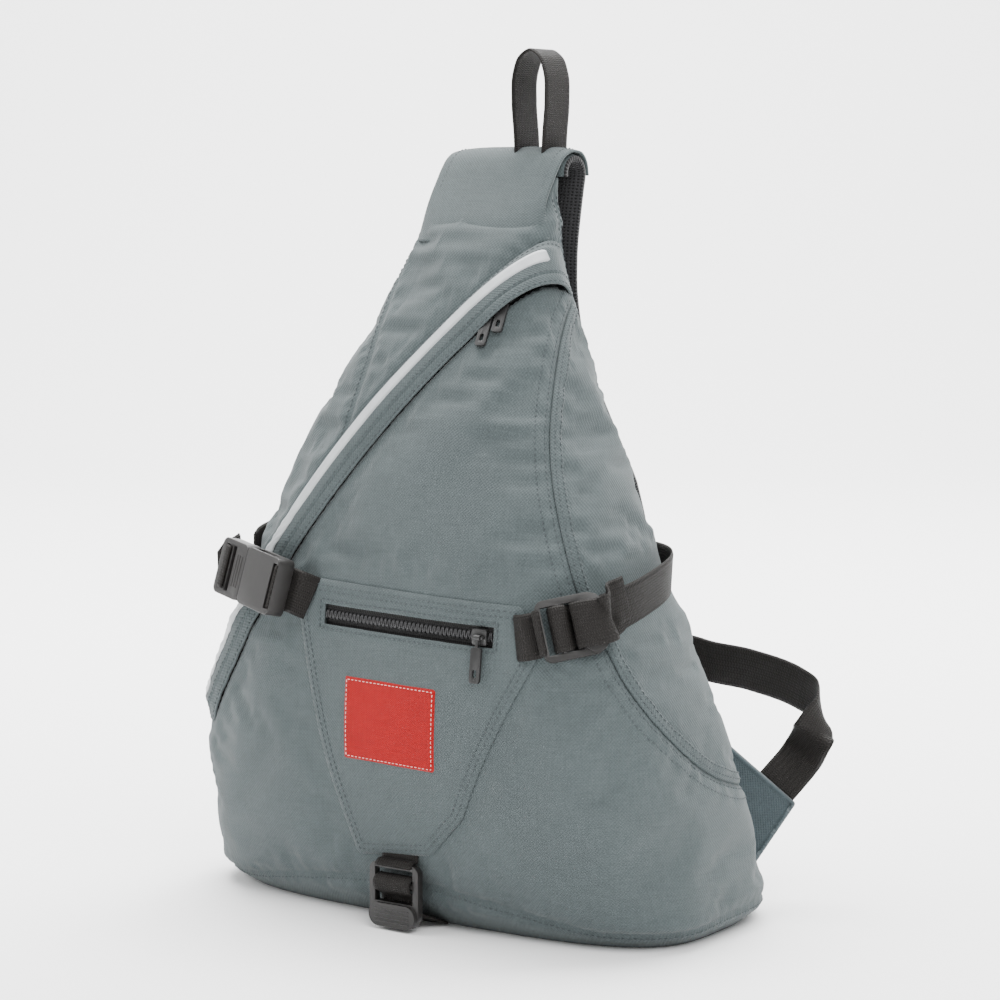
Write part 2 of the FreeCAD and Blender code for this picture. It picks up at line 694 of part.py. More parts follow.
CLIP_LIFT = 9.2             # the clip lies over the storm flap
CLIP_WIDTH = 33.0
CLIP_THICK = 11.0
SOCKET_LENGTH = 34.0
PLUG_LENGTH = 28.0
CAVITY_HALF = 11.2
PRONG_IN = 7.8
PRONG_OUT = 10.2
PRONG_BARB = 11.8
PRONG_TIP = 13.0
PRONG_PIVOT = SOCKET_LENGTH + 0.3
PLUG_SLOT = SOCKET_LENGTH + 20.3


def surface_frame(x, z, lift, direction):
    """Frame on the front or side of the body: along follows direction, out is the normal."""
    foot = front_point(x, z)
    normal = surface_normal(foot)
    return make_frame(foot + normal * lift, V(*direction) - normal * V(*direction).dot(normal), normal)


def ladder_lock():
    """Ladder-lock buckle in local coordinates, from the fixed bar (x = 0) to its thumb lip."""
    half = LOCK_WIDTH / 2
    frame = rounded_box(-LOCK_BAR / 2, LOCK_LENGTH - LOCK_BAR, -half, half, 0, LOCK_THICK, 5.0)
    first_slot = local_box(LOCK_BAR / 2, 8.5, -13.2, 13.2, -1, 20)
    second_slot = local_box(12.5, 21.0, -13.2, 13.2, -1, 20)
    lip = rounded_box(21.5, LOCK_LENGTH, -half + 1, half - 1, 0, LOCK_THICK + 2.4, 6.5)
    grip = cylinder_between(V(10.5, -13.3, LOCK_THICK), V(10.5, 13.3, LOCK_THICK), 1.0)
    return frame.fuse(lip).cut([first_slot, second_slot]).fuse(grip).removeSplitter()


RIGHT_DIRECTION = (0.71, 0.68, 0.17)
RIGHT_LOCK_X = across(0.679)
RIGHT_LOCK_Z = up(0.413)
RIGHT_RISE = 0.20           # rise of the side straps per unit of run towards the back
LEFT_RISE = 0.145
LEFT_DIRECTION = (-0.976, 0.19, 0.15)
BOTTOM_LOCK_X = across(0.030)
BOTTOM_LOCK_Z = up(0.085)


def right_lock_frame():
    """Ladder lock on the right: it lies along the tangent at its middle."""
    origin, along, cross, out = surface_frame(RIGHT_LOCK_X, RIGHT_LOCK_Z, BUCKLE_LIFT,
                                              RIGHT_DIRECTION)
    return origin - along * (LOCK_LENGTH / 2), along, cross, out


def bottom_lock_frame():
    foot = front_point(BOTTOM_LOCK_X, BOTTOM_LOCK_Z, BUCKLE_LIFT)
    return make_frame(foot, V(0, 0, -1), V(0, -1, 0))


def clip_frame():
    middle = SOCKET_LENGTH * 0.9
    frame = surface_frame(across(-0.507), up(0.440), CLIP_LIFT, LEFT_DIRECTION)
    origin, along, cross, out = frame
    return origin - along * middle, along, cross, out


def stations_in(frame, path):
    """Ribbon stations from (along, out, tilt) in a frame; tilt turns the face towards along."""
    origin, along, cross, out = frame
    result = []
    for x, z, tilt in path:
        r = math.radians(tilt)
        result.append((origin + along * x + out * z, cross, out * math.cos(r) + along * math.sin(r)))
    return result


# Webbing through a ladder lock: up through its second slot, and away underneath.
UNDER_LOCK = [(15.2, 3.0, 60.0), (18.6, -1.2, 30.0), (24.0, -1.9, 0.0)]


def side_station(angle, z, lift):
    """Ribbon station on the side of the body, at a plan angle (0 is the right, -90 the front)."""
    half, front, back, power = plan(z, lift)
    c, s = math.cos(math.radians(angle)), math.sin(math.radians(angle))
    x = half * math.copysign(abs(c) ** (2 / power), c)
    y = (front + back) / 2 + (back - front) / 2 * math.copysign(abs(s) ** (2 / power), s)
    p = V(x, y, z)
    return p, V(0, 0.1, 1), surface_normal(p)


def right_strap():
    frame = right_lock_frame()
    half = WEBBING_WIDTH / 2
    band = layer(WEB_LIFT, WEB_LIFT + WEBBING_THICK)
    stub = band.common(slab(frame, -22.0, 0.0, -half, half, -30, 12))
    rear = band.common(strap_plane_slab(frame, RIGHT_RISE, half))
    rear = rear.common(slab(frame, 15.0, 400, -200, 200, -300, 300)).cut(back_zone(2.0))
    over = WEB_LIFT + WEBBING_THICK * 1.5 + 1.6
    z = RIGHT_LOCK_Z + 7.0
    tail = ribbon_through(stations_in(frame, [(14.6, 6.6, -40), (20.0, 8.8, 0), (36.4, 8.4, 0)])
                          + [side_station(-21, z + 3.0, over), side_station(-17, z + 4.5, over),
                             side_station(-13, z + 6.0, over)],
                          WEBBING_WIDTH, WEBBING_THICK)
    tail = tail.cut(hull(WEB_LIFT + WEBBING_THICK + 0.05))
    return {"right_web_stub": stub, "right_webbing": rear, "right_webbing_tail": tail,
            "right_buckle": place(ladder_lock(), frame)}


def strap_plane_slab(frame, rise, half, lift=0.0):
    """Slab round the body that a compression strap follows, rising towards the back."""
    origin = frame[0]
    run = V(0, 1, rise)
    normal = run.cross(V(frame[1].x, frame[1].y, frame[1].z))
    if normal.z < 0:
        normal = normal * -1
    normal.normalize()
    plane = make_frame(origin + normal * lift, run, normal)
    return slab(plane, -400, 400, -400, 400, -half, half)


def left_strap():
    frame = clip_frame()
    origin, along, cross, out = frame
    half = WEBBING_WIDTH / 2
    start = front_point(across(-0.31), up(0.428), WEB_LIFT + 0.8)
    into_slot = [(-3.0, -3.0, 0), (2.6, -1.9, -20), (3.7, 0.4, -80), (3.7, 6.0, -90)]
    stub = ribbon_through([(start, cross, surface_normal(start))] + stations_in(frame, into_slot),
                          WEBBING_WIDTH, WEBBING_THICK)
    slot = PLUG_SLOT + 1.8
    out_of_slot = [(slot, 6.0, 90), (slot, 0.2, 80), (slot + 1.6, -1.8, 20), (slot + 8.0, -3.2, 0)]
    leave = origin + along * (slot + 8.0)
    edge = V(-plan(leave.z + 3)[0] - WEB_LIFT - 0.8, leave.y + 20.0, leave.z + 4.0)
    hang = ribbon_through(stations_in(frame, out_of_slot)
                          + [(edge, V(0, -0.14, 1), surface_normal(edge))],
                          WEBBING_WIDTH, WEBBING_THICK)
    zone = strap_plane_slab((edge, V(-1, 0, 0)), LEFT_RISE, half)
    behind = Part.makeBox(400, 400, 600, V(-400, edge.y, 0))
    band = layer(WEB_LIFT, WEB_LIFT + WEBBING_THICK).common(zone).common(behind).cut(back_zone(2.0))
    return {"left_web_stub": stub, "left_webbing_front": hang, "left_webbing": band}


def clip():
    frame = clip_frame()
    half = CLIP_WIDTH / 2
    t = CLIP_THICK
    socket = rounded_box(0, SOCKET_LENGTH, -half, half, 0, t, 3.5)
    cavity = local_box(7.0, SOCKET_LENGTH + 1, -CAVITY_HALF, CAVITY_HALF, 2.0, t - 2.0)
    windows = [local_box(10.0, 30.5, y0, y1, 2.0, t - 2.0)
               for y0, y1 in ((-half - 1, -CAVITY_HALF + 0.1), (CAVITY_HALF - 0.1, half + 1))]
    slot = local_box(1.8, 5.6, -13.2, 13.2, -1, t + 1)
    socket = socket.cut([cavity, slot] + windows)
    base = SOCKET_LENGTH + 0.8
    end = SOCKET_LENGTH + PLUG_LENGTH
    plug = rounded_box(base, end, -half, half, 0.5, t - 0.5, 4.0)
    rails = local_box(20.0, base + 1, -2.4, 2.4, 3.6, t - 3.6)
    slots = [local_box(x, x + 3.6, -13.2, 13.2, -1, t + 1) for x in (PLUG_SLOT - 7.5, PLUG_SLOT)]
    plug = plug.fuse(rails).cut(slots)
    pieces = {"clip_socket": socket, "clip_plug": plug}
    for name, side in (("upper", 1), ("lower", -1)):
        outline = [(PRONG_TIP, PRONG_IN), (PRONG_PIVOT, PRONG_IN), (PRONG_PIVOT, PRONG_OUT),
                   (23.0, PRONG_OUT), (20.5, PRONG_BARB), (PRONG_TIP, PRONG_OUT - 0.6)]
        face = Part.Face(Part.makePolygon([V(x, side * y, 3.0) for x, y in outline + [outline[0]]]))
        pieces["clip_prong_" + name] = face.extrude(V(0, 0, t - 6.0))
    return {name: place(shape, frame) for name, shape in pieces.items()}


def bottom_strap():
    frame = bottom_lock_frame()
    origin, along, cross, out = frame
    half = WEBBING_WIDTH / 2
    stub_zone = slab(frame, -14.0, -1.4, -half, half, -40, 20)
    stub = layer(WEB_LIFT, WEB_LIFT + WEBBING_THICK).common(stub_zone)
    floor = WEBBING_THICK / 2
    x = BOTTOM_LOCK_X
    front = plan(0.0)[1]
    wide = V(1, 0, 0)
    run = ribbon_through(stations_in(frame, UNDER_LOCK)
                         + [(V(x + 5, front - 12.0, 4.6), wide, V(0, -0.5, -1)),
                            (V(x + 8, front - 3.0, floor), wide, V(0, 0, -1))],
                         WEBBING_WIDTH, WEBBING_THICK)
    return {"bottom_web_stub": stub, "bottom_webbing": run, "bottom_buckle": place(ladder_lock(), frame)}


# ---------------------------------------------------------------- shoulder webbing and handle

STRAP_LOCK_X = 18.0
STRAP_LOCK_DIRECTION = (0.55, 0.10, -0.83)


def strap_lock_frame():
    end_y, end_z = STRAP_RUN[-1]
    origin = V(STRAP_LOCK_X + 4.0, end_y + 2.0, end_z - 9.0)
    return make_frame(origin, V(*STRAP_LOCK_DIRECTION), V(0, 1, 0))


TAB_ROOT_TOP = V(across(0.700), plan(up(0.188))[2] + 2.0, up(0.232))
TAB_ROOT_LOW = V(across(0.835), plan(up(0.060))[2] - 16.0, up(0.040))
TAB_FREE = V(across(0.958), plan(up(0.137))[2] + 16.0, up(0.137))
TAB_THICK = 3.2


def tab_frame():
    """Frame of the corner tab: along its free top edge, out of its rear face."""
    edge = TAB_FREE - TAB_ROOT_TOP
    down = TAB_ROOT_LOW - TAB_ROOT_TOP
    out = edge.cross(down)
    if out.y < 0:
        out = out * -1
    return make_frame((TAB_ROOT_TOP + TAB_FREE) * 0.5, edge, out)


def corner_tab():
    """Folded triangle sewn into the rear right base corner."""
    frame = tab_frame()
    inwards = V(-14.0, -10.0, 0)
    corners = [TAB_ROOT_TOP + inwards, TAB_ROOT_TOP, TAB_FREE, TAB_ROOT_LOW, TAB_ROOT_LOW + inwards]
    flat = [p - frame[3] * (p - frame[0]).dot(frame[3]) for p in corners]
    tab = prism(flat, frame[3] * TAB_THICK)
    return tab.cut(hull(0.1))


def shoulder_webbing():
    """Free webbing from the strap's ladder lock, out past the side and back to the corner tab."""
    frame = strap_lock_frame()
    tab_origin, tab_along, tab_cross, tab_out = tab_frame()
    sewn = tab_origin + tab_along * 17.0 + tab_out * (TAB_THICK + WEBBING_THICK / 2 + 0.3)
    inward = tab_cross if tab_cross.z < 0 else tab_cross * -1
    stations = stations_in(frame, UNDER_LOCK + [(37.0, -2.4, 0.0)])
    stations = [(p, w if w.z > 0 else w * -1, n) for p, w, n in stations]
    stations += [(V(72, 124, up(0.302)), V(0.02, 0, 1), V(0.05, 1, 0)),
                (V(112, 118, up(0.296)), V(0.02, 0, 1), V(0.15, 1, 0)),
                (V(149, 110, up(0.282)), V(-0.02, 0, 1), V(0.35, 1, 0)),
                (V(164, 104, up(0.270)), V(-0.12, -0.05, 1), V(0.60, 0.80, 0.1)),
                (V(171, 96, up(0.256)), V(-0.21, -0.15, 0.96), V(0.80, 0.52, 0.25)),
                (V(171, 89, up(0.238)), V(-0.38, -0.25, 0.88), V(0.92, -0.12, 0.36)),
                (sewn - inward * 20.0 + tab_out * 2.0, V(-0.62, -0.36, 0.68), V(0.62, -0.68, 0.2)),
                (sewn - inward * 6.0, tab_along * -1, tab_out * -1),
                (sewn + inward * 12.0, tab_along * -1, tab_out * -1)]
    return ribbon_through(stations, WEBBING_WIDTH, WEBBING_THICK)


def strap_end():
    """Webbing loop that holds the strap's ladder lock."""
    frame = strap_lock_frame()
    origin, along, cross, out = frame
    end_y, end_z = STRAP_RUN[-1]
    top = V(STRAP_LOCK_X, end_y + 5.6, end_z + 14.0)
    run = ribbon_through([(top, V(1, 0, 0.2), V(0, 1, 0)),
                          (V(STRAP_LOCK_X + 1, end_y + 5.8, end_z - 1.0), V(1, 0, 0.3), V(0, 1, 0)),
                          (origin - along * 0.5 + out * 5.6, cross, out)], WEBBING_WIDTH, WEBBING_THICK)
    return {"strap_end_webbing": run, "strap_buckle": place(ladder_lock(), frame)}


def grab_handle():
    """Webbing loop standing on the fold; its width runs front to back."""
    base_half, top = HANDLE_SPREAD / 2 - 2.2, FOLD_Z + 14.0 + HANDLE_HEIGHT
    half = WEBBING_WIDTH / 2
    radius = HANDLE_SPREAD / 2
    centre_z = top - radius - 3.0
    outer = [V(HANDLE_X - base_half - HANDLE_THICK / 2, 0, FOLD_Z),
             V(HANDLE_X - radius - HANDLE_THICK / 2, 0, centre_z - 14),
             V(HANDLE_X, 0, top),
             V(HANDLE_X + radius + HANDLE_THICK / 2, 0, centre_z - 14),
             V(HANDLE_X + base_half + HANDLE_THICK / 2, 0, FOLD_Z)]
    inner = [V(p.x + (HANDLE_THICK if p.x < HANDLE_X - 1 else -HANDLE_THICK if p.x > HANDLE_X + 1 else 0),
               0, p.z - (HANDLE_THICK if p.z > top - 1 else 0)) for p in outer]
    edges = [smooth(outer), Part.makeLine(outer[-1], inner[-1]), smooth(list(reversed(inner))),
             Part.makeLine(inner[0], outer[0])]
    loop = Part.Face(Part.Wire(edges)).extrude(V(0, 2 * half, 0))
    loop.translate(V(0, FOLD_Y - half, 0))
    fold = Part.makeCylinder(FOLD_INNER + STRAP_THICK + 0.6, 200, V(-100, FOLD_Y, FOLD_Z), V(1, 0, 0))
    return {"grab_handle": loop.cut(fold)}


# ---------------------------------------------------------------- build

def build():
    pieces = {}
    for group in (body_panels, back_padding, seam_binding, top_seam, pocket, main_zip, storm_flap,
                  shoulder_strap, right_strap, left_strap, clip, bottom_strap, strap_end,
                  grab_handle):
        pieces.update(group())
    pieces["corner_tab"] = corner_tab()
    pieces["shoulder_webbing"] = shoulder_webbing()
    return pieces


def main():
    os.makedirs("parts", exist_ok=True)
    for name, shape in sorted(build().items()):
        shape.exportStep("parts/" + name + ".step")
        print(name, round(shape.Volume / 1000, 2), "cm3", len(shape.Solids), "solid")


if __name__ == "__main__":
    main()
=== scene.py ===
import json
import math
import random

import bmesh
import bpy
import numpy as np
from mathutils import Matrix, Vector, noise
from mathutils.bvhtree import BVHTree
from mathutils.kdtree import KDTree

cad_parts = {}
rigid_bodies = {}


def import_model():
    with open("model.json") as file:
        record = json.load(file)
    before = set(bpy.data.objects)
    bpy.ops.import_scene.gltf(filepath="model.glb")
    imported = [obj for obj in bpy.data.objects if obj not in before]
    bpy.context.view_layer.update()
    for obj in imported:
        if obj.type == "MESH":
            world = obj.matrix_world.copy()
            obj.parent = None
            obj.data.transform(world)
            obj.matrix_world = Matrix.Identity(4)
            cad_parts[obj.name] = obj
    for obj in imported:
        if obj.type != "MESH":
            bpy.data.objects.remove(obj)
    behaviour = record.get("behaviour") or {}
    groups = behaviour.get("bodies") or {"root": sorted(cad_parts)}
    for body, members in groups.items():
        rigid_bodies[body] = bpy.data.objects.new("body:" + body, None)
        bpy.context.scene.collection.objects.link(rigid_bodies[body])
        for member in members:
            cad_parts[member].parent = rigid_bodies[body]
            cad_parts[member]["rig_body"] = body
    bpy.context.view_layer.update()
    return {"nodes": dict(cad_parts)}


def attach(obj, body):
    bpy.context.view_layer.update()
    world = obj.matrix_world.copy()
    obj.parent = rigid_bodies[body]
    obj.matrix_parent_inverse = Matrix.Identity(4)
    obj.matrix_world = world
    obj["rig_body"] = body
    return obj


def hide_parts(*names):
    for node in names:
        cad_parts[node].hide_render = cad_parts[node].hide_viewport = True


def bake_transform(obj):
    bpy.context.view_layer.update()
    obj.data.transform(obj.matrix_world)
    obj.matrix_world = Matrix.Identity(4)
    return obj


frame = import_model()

MM = 0.001                  # the shapes below are worked out in millimetres
random.seed(7)

# ---------------------------------------------------------------- sizes (mm), as in the CAD model

BODY_WIDTH = 336.0
BODY_DEPTH = 186.0
BODY_HEIGHT = 436.0
BODY_TOP = 422.0
BASE_INSET = 10.0
BASE_RISE = 16.0
PROFILE = [
    (0.000, 0.988, -0.409, 0.452, 3.5),
    (0.030, 1.000, -0.433, 0.450, 3.5),
    (0.103, 0.988, -0.489, 0.403, 3.5),
    (0.222, 0.952, -0.548, 0.312, 3.5),
    (0.349, 0.857, -0.550, 0.258, 3.1),
    (0.482, 0.726, -0.516, 0.215, 2.8),
    (0.656, 0.524, -0.390, 0.172, 2.8),
    (0.780, 0.381, -0.247, 0.142, 2.7),
    (0.858, 0.300, -0.140, 0.130, 2.6),
    (0.929, 0.258, -0.025, 0.130, 2.6),
    (1.000, 0.238, 0.095, 0.134, 2.6),
]
WEBBING_WIDTH = 25.4
WEBBING_THICK = 1.6
WEB_LIFT = 2.0
FLAP_ABOVE = 16.0
FLAP_TOP = 6.0
FLAP_THICK = 1.2
FLAP_END_Y = 5.0
STRIP_LOW = 4.5
STRIP_HIGH = 11.0
ZIP_END_Z = 102.5
FOLD_Y = 32.0
FOLD_Z = 424.0
FOLD_INNER = 5.0
STRAP_THICK = 8.9
STRAP_HALF = 41.0
HANDLE_X = 16.5


def across(share):
    return share * BODY_WIDTH / 2


def up(share):
    return share * BODY_HEIGHT


POCKET_OUTLINE = [(across(-0.292), up(0.452)), (across(0.524), up(0.438)),
                  (across(0.595), up(0.376)), (across(0.315), up(0.160)),
                  (across(0.160), up(0.103)), (across(-0.150), up(0.090)),
                  (across(-0.357), up(0.408))]
# Front edge of the side panel, from under the flap down and round to the back, as (x, y, z).
SIDE_SEAM = [(59, 2, 351), (62, -9, 343), (67, -21, 332), (74, -38, 309), (82, -54, 280),
             (91, -64, 252), (101, -70, 227), (113, -73, 198), (128, -70, 170), (139, -66, 150),
             (150, -55, 129), (158, -35, 109), (161, -8, 92), (160, 16, 84), (152, 40, 80)]
GUSSET_SEAM = [(across(-0.262), up(0.97)), (across(-0.275), up(0.83)), (across(-0.262), up(0.70)),
               (across(-0.30), up(0.60)), (across(-0.40), up(0.52))]
POCKET_ZIP_X = across(0.10)
POCKET_ZIP_Z = up(0.402)
POCKET_ZIP_HALF = 57.0
POCKET_ZIP_SLOPE = 0.0357    # how far the pocket's zip drops towards the right, mm for each mm
POCKET_SLOT_DEPTH = 3.4
MAIN_SLOT_DEPTH = 5.7
PATCH_CENTRE = (across(0.048), up(0.275))
PATCH_SIZE = (63.0, 47.0)
PATCH_TILT = 0.03


# ---------------------------------------------------------------- body surface

def hermite(column, share):
    """Smooth value of one PROFILE column at a height share."""
    rows = PROFILE
    share = min(max(share, 0.0), 1.0)
    i = max(k for k in range(len(rows) - 1) if rows[k][0] <= share)
    x0, x1 = rows[i][0], rows[i + 1][0]

    def slope(k):
        lo, hi = max(k - 1, 0), min(k + 1, len(rows) - 1)
        return (rows[hi][column] - rows[lo][column]) / (rows[hi][0] - rows[lo][0])

    h = x1 - x0
    s = (share - x0) / h
    m0, m1 = slope(i) * h, slope(i + 1) * h
    return ((2 * s ** 3 - 3 * s ** 2 + 1) * rows[i][column] + (s ** 3 - 2 * s ** 2 + s) * m0
            + (3 * s ** 2 - 2 * s ** 3) * rows[i + 1][column] + (s ** 3 - s ** 2) * m1)


def plan(z):
    """Half width, front y, back y and squareness of the body at height z."""
    share = z / BODY_HEIGHT
    inset = BASE_INSET * (1 - z / BASE_RISE) ** 2 if z < BASE_RISE else 0.0
    half = hermite(1, share) * BODY_WIDTH / 2 - inset
    return (half, hermite(2, share) * BODY_DEPTH + inset, hermite(3, share) * BODY_DEPTH - inset,
            hermite(4, share))


TABLE_Z = np.linspace(0.0, BODY_HEIGHT, 873)
TABLE = np.array([plan(z) for z in TABLE_Z])


def plan_at(z):
    return [np.interp(z, TABLE_Z, TABLE[:, k]) for k in range(4)]


def level(p):
    half, front, back, power = plan_at(p[..., 2])
    centre, depth = (front + back) / 2, (back - front) / 2
    return (np.abs(p[..., 0]) / half) ** power + (np.abs(p[..., 1] - centre) / depth) ** power


def normals(p, e=0.5):
    """Outward unit normals of the smooth body at points near it."""
    p = np.asarray(p, float)
    shifts = np.eye(3) * e
    g = np.stack([level(p + d) - level(p - d) for d in shifts], -1)
    return g / np.maximum(np.linalg.norm(g, axis=-1, keepdims=True), 1e-12)


def ring(z, count):
    """Points evenly spaced round the body at height z from the middle of the back, and their run."""
    half, front, back, power = plan(z)
    angle = np.linspace(0.5 * math.pi, 2.5 * math.pi, 2881)
    c, s = np.cos(angle), np.sin(angle)
    x = half * np.sign(c) * np.abs(c) ** (2 / power)
    y = (front + back) / 2 + (back - front) / 2 * np.sign(s) * np.abs(s) ** (2 / power)
    run = np.concatenate([[0], np.cumsum(np.hypot(np.diff(x), np.diff(y)))])
    even = np.linspace(0, run[-1], count + 1)
    return np.interp(even, run, x), np.interp(even, run, y), even


def body_grid(columns, spacing):
    """Grid of points on the body (rows from the floor up) and their cloth coordinates."""
    low = np.linspace(0.0, BASE_RISE, max(int(BASE_RISE / spacing * 1.5), 4))
    high = np.linspace(BASE_RISE, BODY_TOP, int((BODY_TOP - BASE_RISE) / spacing))[1:]
    rows, runs = [], []
    for z in np.concatenate([low, high]):
        x, y, even = ring(z, columns)
        rows.append(np.stack([x, y, np.full_like(x, z)], -1))
        runs.append(np.stack([even - even[-1] / 2, np.full_like(even, z)], -1))
    return np.array(rows), np.array(runs)


# ---------------------------------------------------------------- meshes

def new_object(name, verts, faces, uvs=None, materials=(), indices=None):
    """Mesh object from points in mm, with cloth coordinates in mm for each face corner."""
    mesh = bpy.data.meshes.new(name)
    mesh.from_pydata([tuple(v) for v in np.asarray(verts, float) * MM], [], faces)
    if uvs is not None:
        layer = mesh.uv_layers.new(name="cloth")
        layer.data.foreach_set("uv", (np.asarray(uvs, float) * MM).astype(np.float32).ravel())
    for material in materials:
        mesh.materials.append(material)
    if indices is not None:
        mesh.polygons.foreach_set("material_index", indices)
    mesh.polygons.foreach_set("use_smooth", [True] * len(mesh.polygons))
    mesh.update()
    piece = bpy.data.objects.new(name, mesh)
    bpy.context.scene.collection.objects.link(piece)
    return piece


def grid_faces(rows, cols, closed):
    """Quads of a grid and the grid places of their corners; closed joins the last column to the first."""
    faces, corners = [], []
    for i in range(rows - 1):
        for j in range(cols if closed else cols - 1):
            k = (j + 1) % cols
            faces.append((i * cols + j, i * cols + k, (i + 1) * cols + k, (i + 1) * cols + j))
            corners.append(((i, j), (i, j + 1), (i + 1, j + 1), (i + 1, j)))
    return faces, corners


def tube_faces(start, rings, around):
    """Quads between rings of points numbered from start, and the two end faces."""
    faces = []
    for i in range(rings - 1):
        low = start + i * around
        for k in range(around):
            m = (k + 1) % around
            faces.append((low + k, low + m, low + around + m, low + around + k))
    last = start + (rings - 1) * around
    faces.append(tuple(range(start, start + around))[::-1])
    faces.append(tuple(range(last, last + around)))
    return faces


def grid_object(name, points, cloth, materials, closed=False, caps=False, indices=None):
    """Object from a grid of points; cloth has one more column than points when closed."""
    points = np.asarray(points, float)
    rows, cols = points.shape[:2]
    faces, corners = grid_faces(rows, cols, closed)
    uvs = [cloth[i][j] for face in corners for i, j in face]
    if caps:
        faces += [tuple(range(cols))[::-1], tuple((rows - 1) * cols + j for j in range(cols))]
        uvs += [cloth[0][j] for j in range(cols)][::-1] + [cloth[rows - 1][j] for j in range(cols)]
        if indices is not None:
            indices = list(indices) + [0, 0]
    return new_object(name, points.reshape(-1, 3), faces, uvs, materials, indices)


def applied(piece):
    """The piece with its modifiers made real."""
    bpy.context.view_layer.update()
    evaluated = piece.evaluated_get(bpy.context.evaluated_depsgraph_get())
    mesh = bpy.data.meshes.new_from_object(evaluated)
    piece.modifiers.clear()
    old = piece.data
    piece.data = mesh
    bpy.data.meshes.remove(old)
    return piece


def solid(piece, thickness):
    """Give a sheet its thickness, in mm, on its inner side."""
    skin = piece.modifiers.new("thick", "SOLIDIFY")
    skin.thickness = thickness * MM
    skin.offset = -1.0
    skin.use_even_offset = True
    return applied(piece)


def smoothstep(x):
    x = np.clip(x, 0.0, 1.0)
    return x * x * (3 - 2 * x)


def catmull(points, count):
    """Smooth curve through points, sampled count times along its chord length."""
    p = np.asarray(points, float)
    chord = np.concatenate([[0], np.cumsum(np.linalg.norm(np.diff(p, axis=0), axis=1))])
    where = np.linspace(0, chord[-1], count)
    slopes = np.gradient(p, chord, axis=0)
    i = np.clip(np.searchsorted(chord, where, side="right") - 1, 0, len(p) - 2)
    h = (chord[i + 1] - chord[i])[:, None]
    s = ((where - chord[i]) / h[:, 0])[:, None]
    return ((2 * s ** 3 - 3 * s ** 2 + 1) * p[i] + (s ** 3 - 2 * s ** 2 + s) * slopes[i] * h
            + (3 * s ** 2 - 2 * s ** 3) * p[i + 1] + (s ** 3 - s ** 2) * slopes[i + 1] * h)


def lengths(line):
    return np.concatenate([[0], np.cumsum(np.linalg.norm(np.diff(line, axis=0), axis=1))])


class Surface:
    """Something that cloth and stitches can be laid on."""

    def __init__(self, points, closed=True):
        points = np.asarray(points, float)
        rows, cols = points.shape[:2]
        faces, _ = grid_faces(rows, cols, closed)
        self.tree = BVHTree.FromPolygons([tuple(v) for v in points.reshape(-1, 3)], faces)

    def cast(self, starts, directions, lift=0.0):
        """Where rays land, each raised by lift along the smooth normal."""
        starts = np.atleast_2d(np.asarray(starts, float))
        directions = np.broadcast_to(np.asarray(directions, float), starts.shape)
        hits = np.array([self._hit(s, d) for s, d in zip(starts, directions)])
        return hits + normals(hits) * np.reshape(lift, (-1, 1))

    def _hit(self, start, direction):
        hit = self.tree.ray_cast(Vector(start), Vector(direction))[0]
        if hit is None:
            hit = self.tree.find_nearest(Vector(start))[0]
        return tuple(hit)

    def settle(self, points, lift=0.0):
        """Points moved onto the surface along the smooth normal."""
        points = np.asarray(points, float)
        out = normals(points)
        return self.cast(points + out * 25.0, -out, lift)

    def front(self, xz, lift=0.0):
        xz = np.asarray(xz, float)
        starts = np.stack([xz[:, 0], np.full(len(xz), -400.0), xz[:, 1]], -1)
        return self.cast(starts, (0, 1, 0), lift)


RIBBON_STEP = 1.2


def ribbon(name, stations, material, thickness):
    """Flat webbing through stations of (point, width direction, out direction)."""
    p = np.array([s[0] for s in stations], float)
    frames = np.array([np.concatenate([s[1], s[2]]) for s in stations], float)
    chord = lengths(p)
    count = max(int(chord[-1] / RIBBON_STEP), 8)
    line = catmull(p, count)
    where = np.linspace(0, chord[-1], count)
    turned = np.stack([np.interp(where, chord, frames[:, k]) for k in range(6)], -1)
    wide, out = turned[:, :3], turned[:, 3:]
    tangent = np.gradient(line, axis=0)
    tangent /= np.linalg.norm(tangent, axis=1, keepdims=True)
    wide = wide - tangent * np.sum(wide * tangent, 1, keepdims=True)
    wide /= np.linalg.norm(wide, axis=1, keepdims=True)
    normal = np.cross(wide, tangent)
    normal *= np.sign(np.sum(normal * out, 1, keepdims=True))
    side = np.linspace(-1, 1, 15)
    crown = thickness / 2 * np.sqrt(np.clip(1 - np.abs(side) ** 14, 0.12, 1))
    crown += 0.12 * (np.abs(np.abs(side) - 0.9) < 0.08)
    loop = [(v * WEBBING_WIDTH / 2, t) for v, t in zip(side, crown)]
    loop += [(v * WEBBING_WIDTH / 2, -t) for v, t in zip(side[::-1], crown[::-1])]
    points = np.array([[c + w * a + n * b for a, b in loop] for c, w, n in zip(line, wide, normal)])
    run = lengths(line)
    cloth = [[(s, a) for a, b in loop] + [(s, loop[0][0])] for s in run]
    piece = grid_object(name, points, cloth, [material], closed=True, caps=True)
    recalc(piece)
    return piece


def recalc(piece):
    """Turn every face outwards."""
    bm = bmesh.new()
    bm.from_mesh(piece.data)
    bmesh.ops.recalc_face_normals(bm, faces=bm.faces)
    bm.to_mesh(piece.data)
    bm.free()
    return piece


def beside(line, distance):
    """The line moved sideways on the body."""
    tangent = np.gradient(line, axis=0)
    side = np.cross(tangent, normals(line))
    side /= np.maximum(np.linalg.norm(side, axis=1, keepdims=True), 1e-9)
    return line + side * distance


STITCH_LENGTH = 2.5
STITCH_GAP = 0.9
STITCH_RADIUS = 0.34


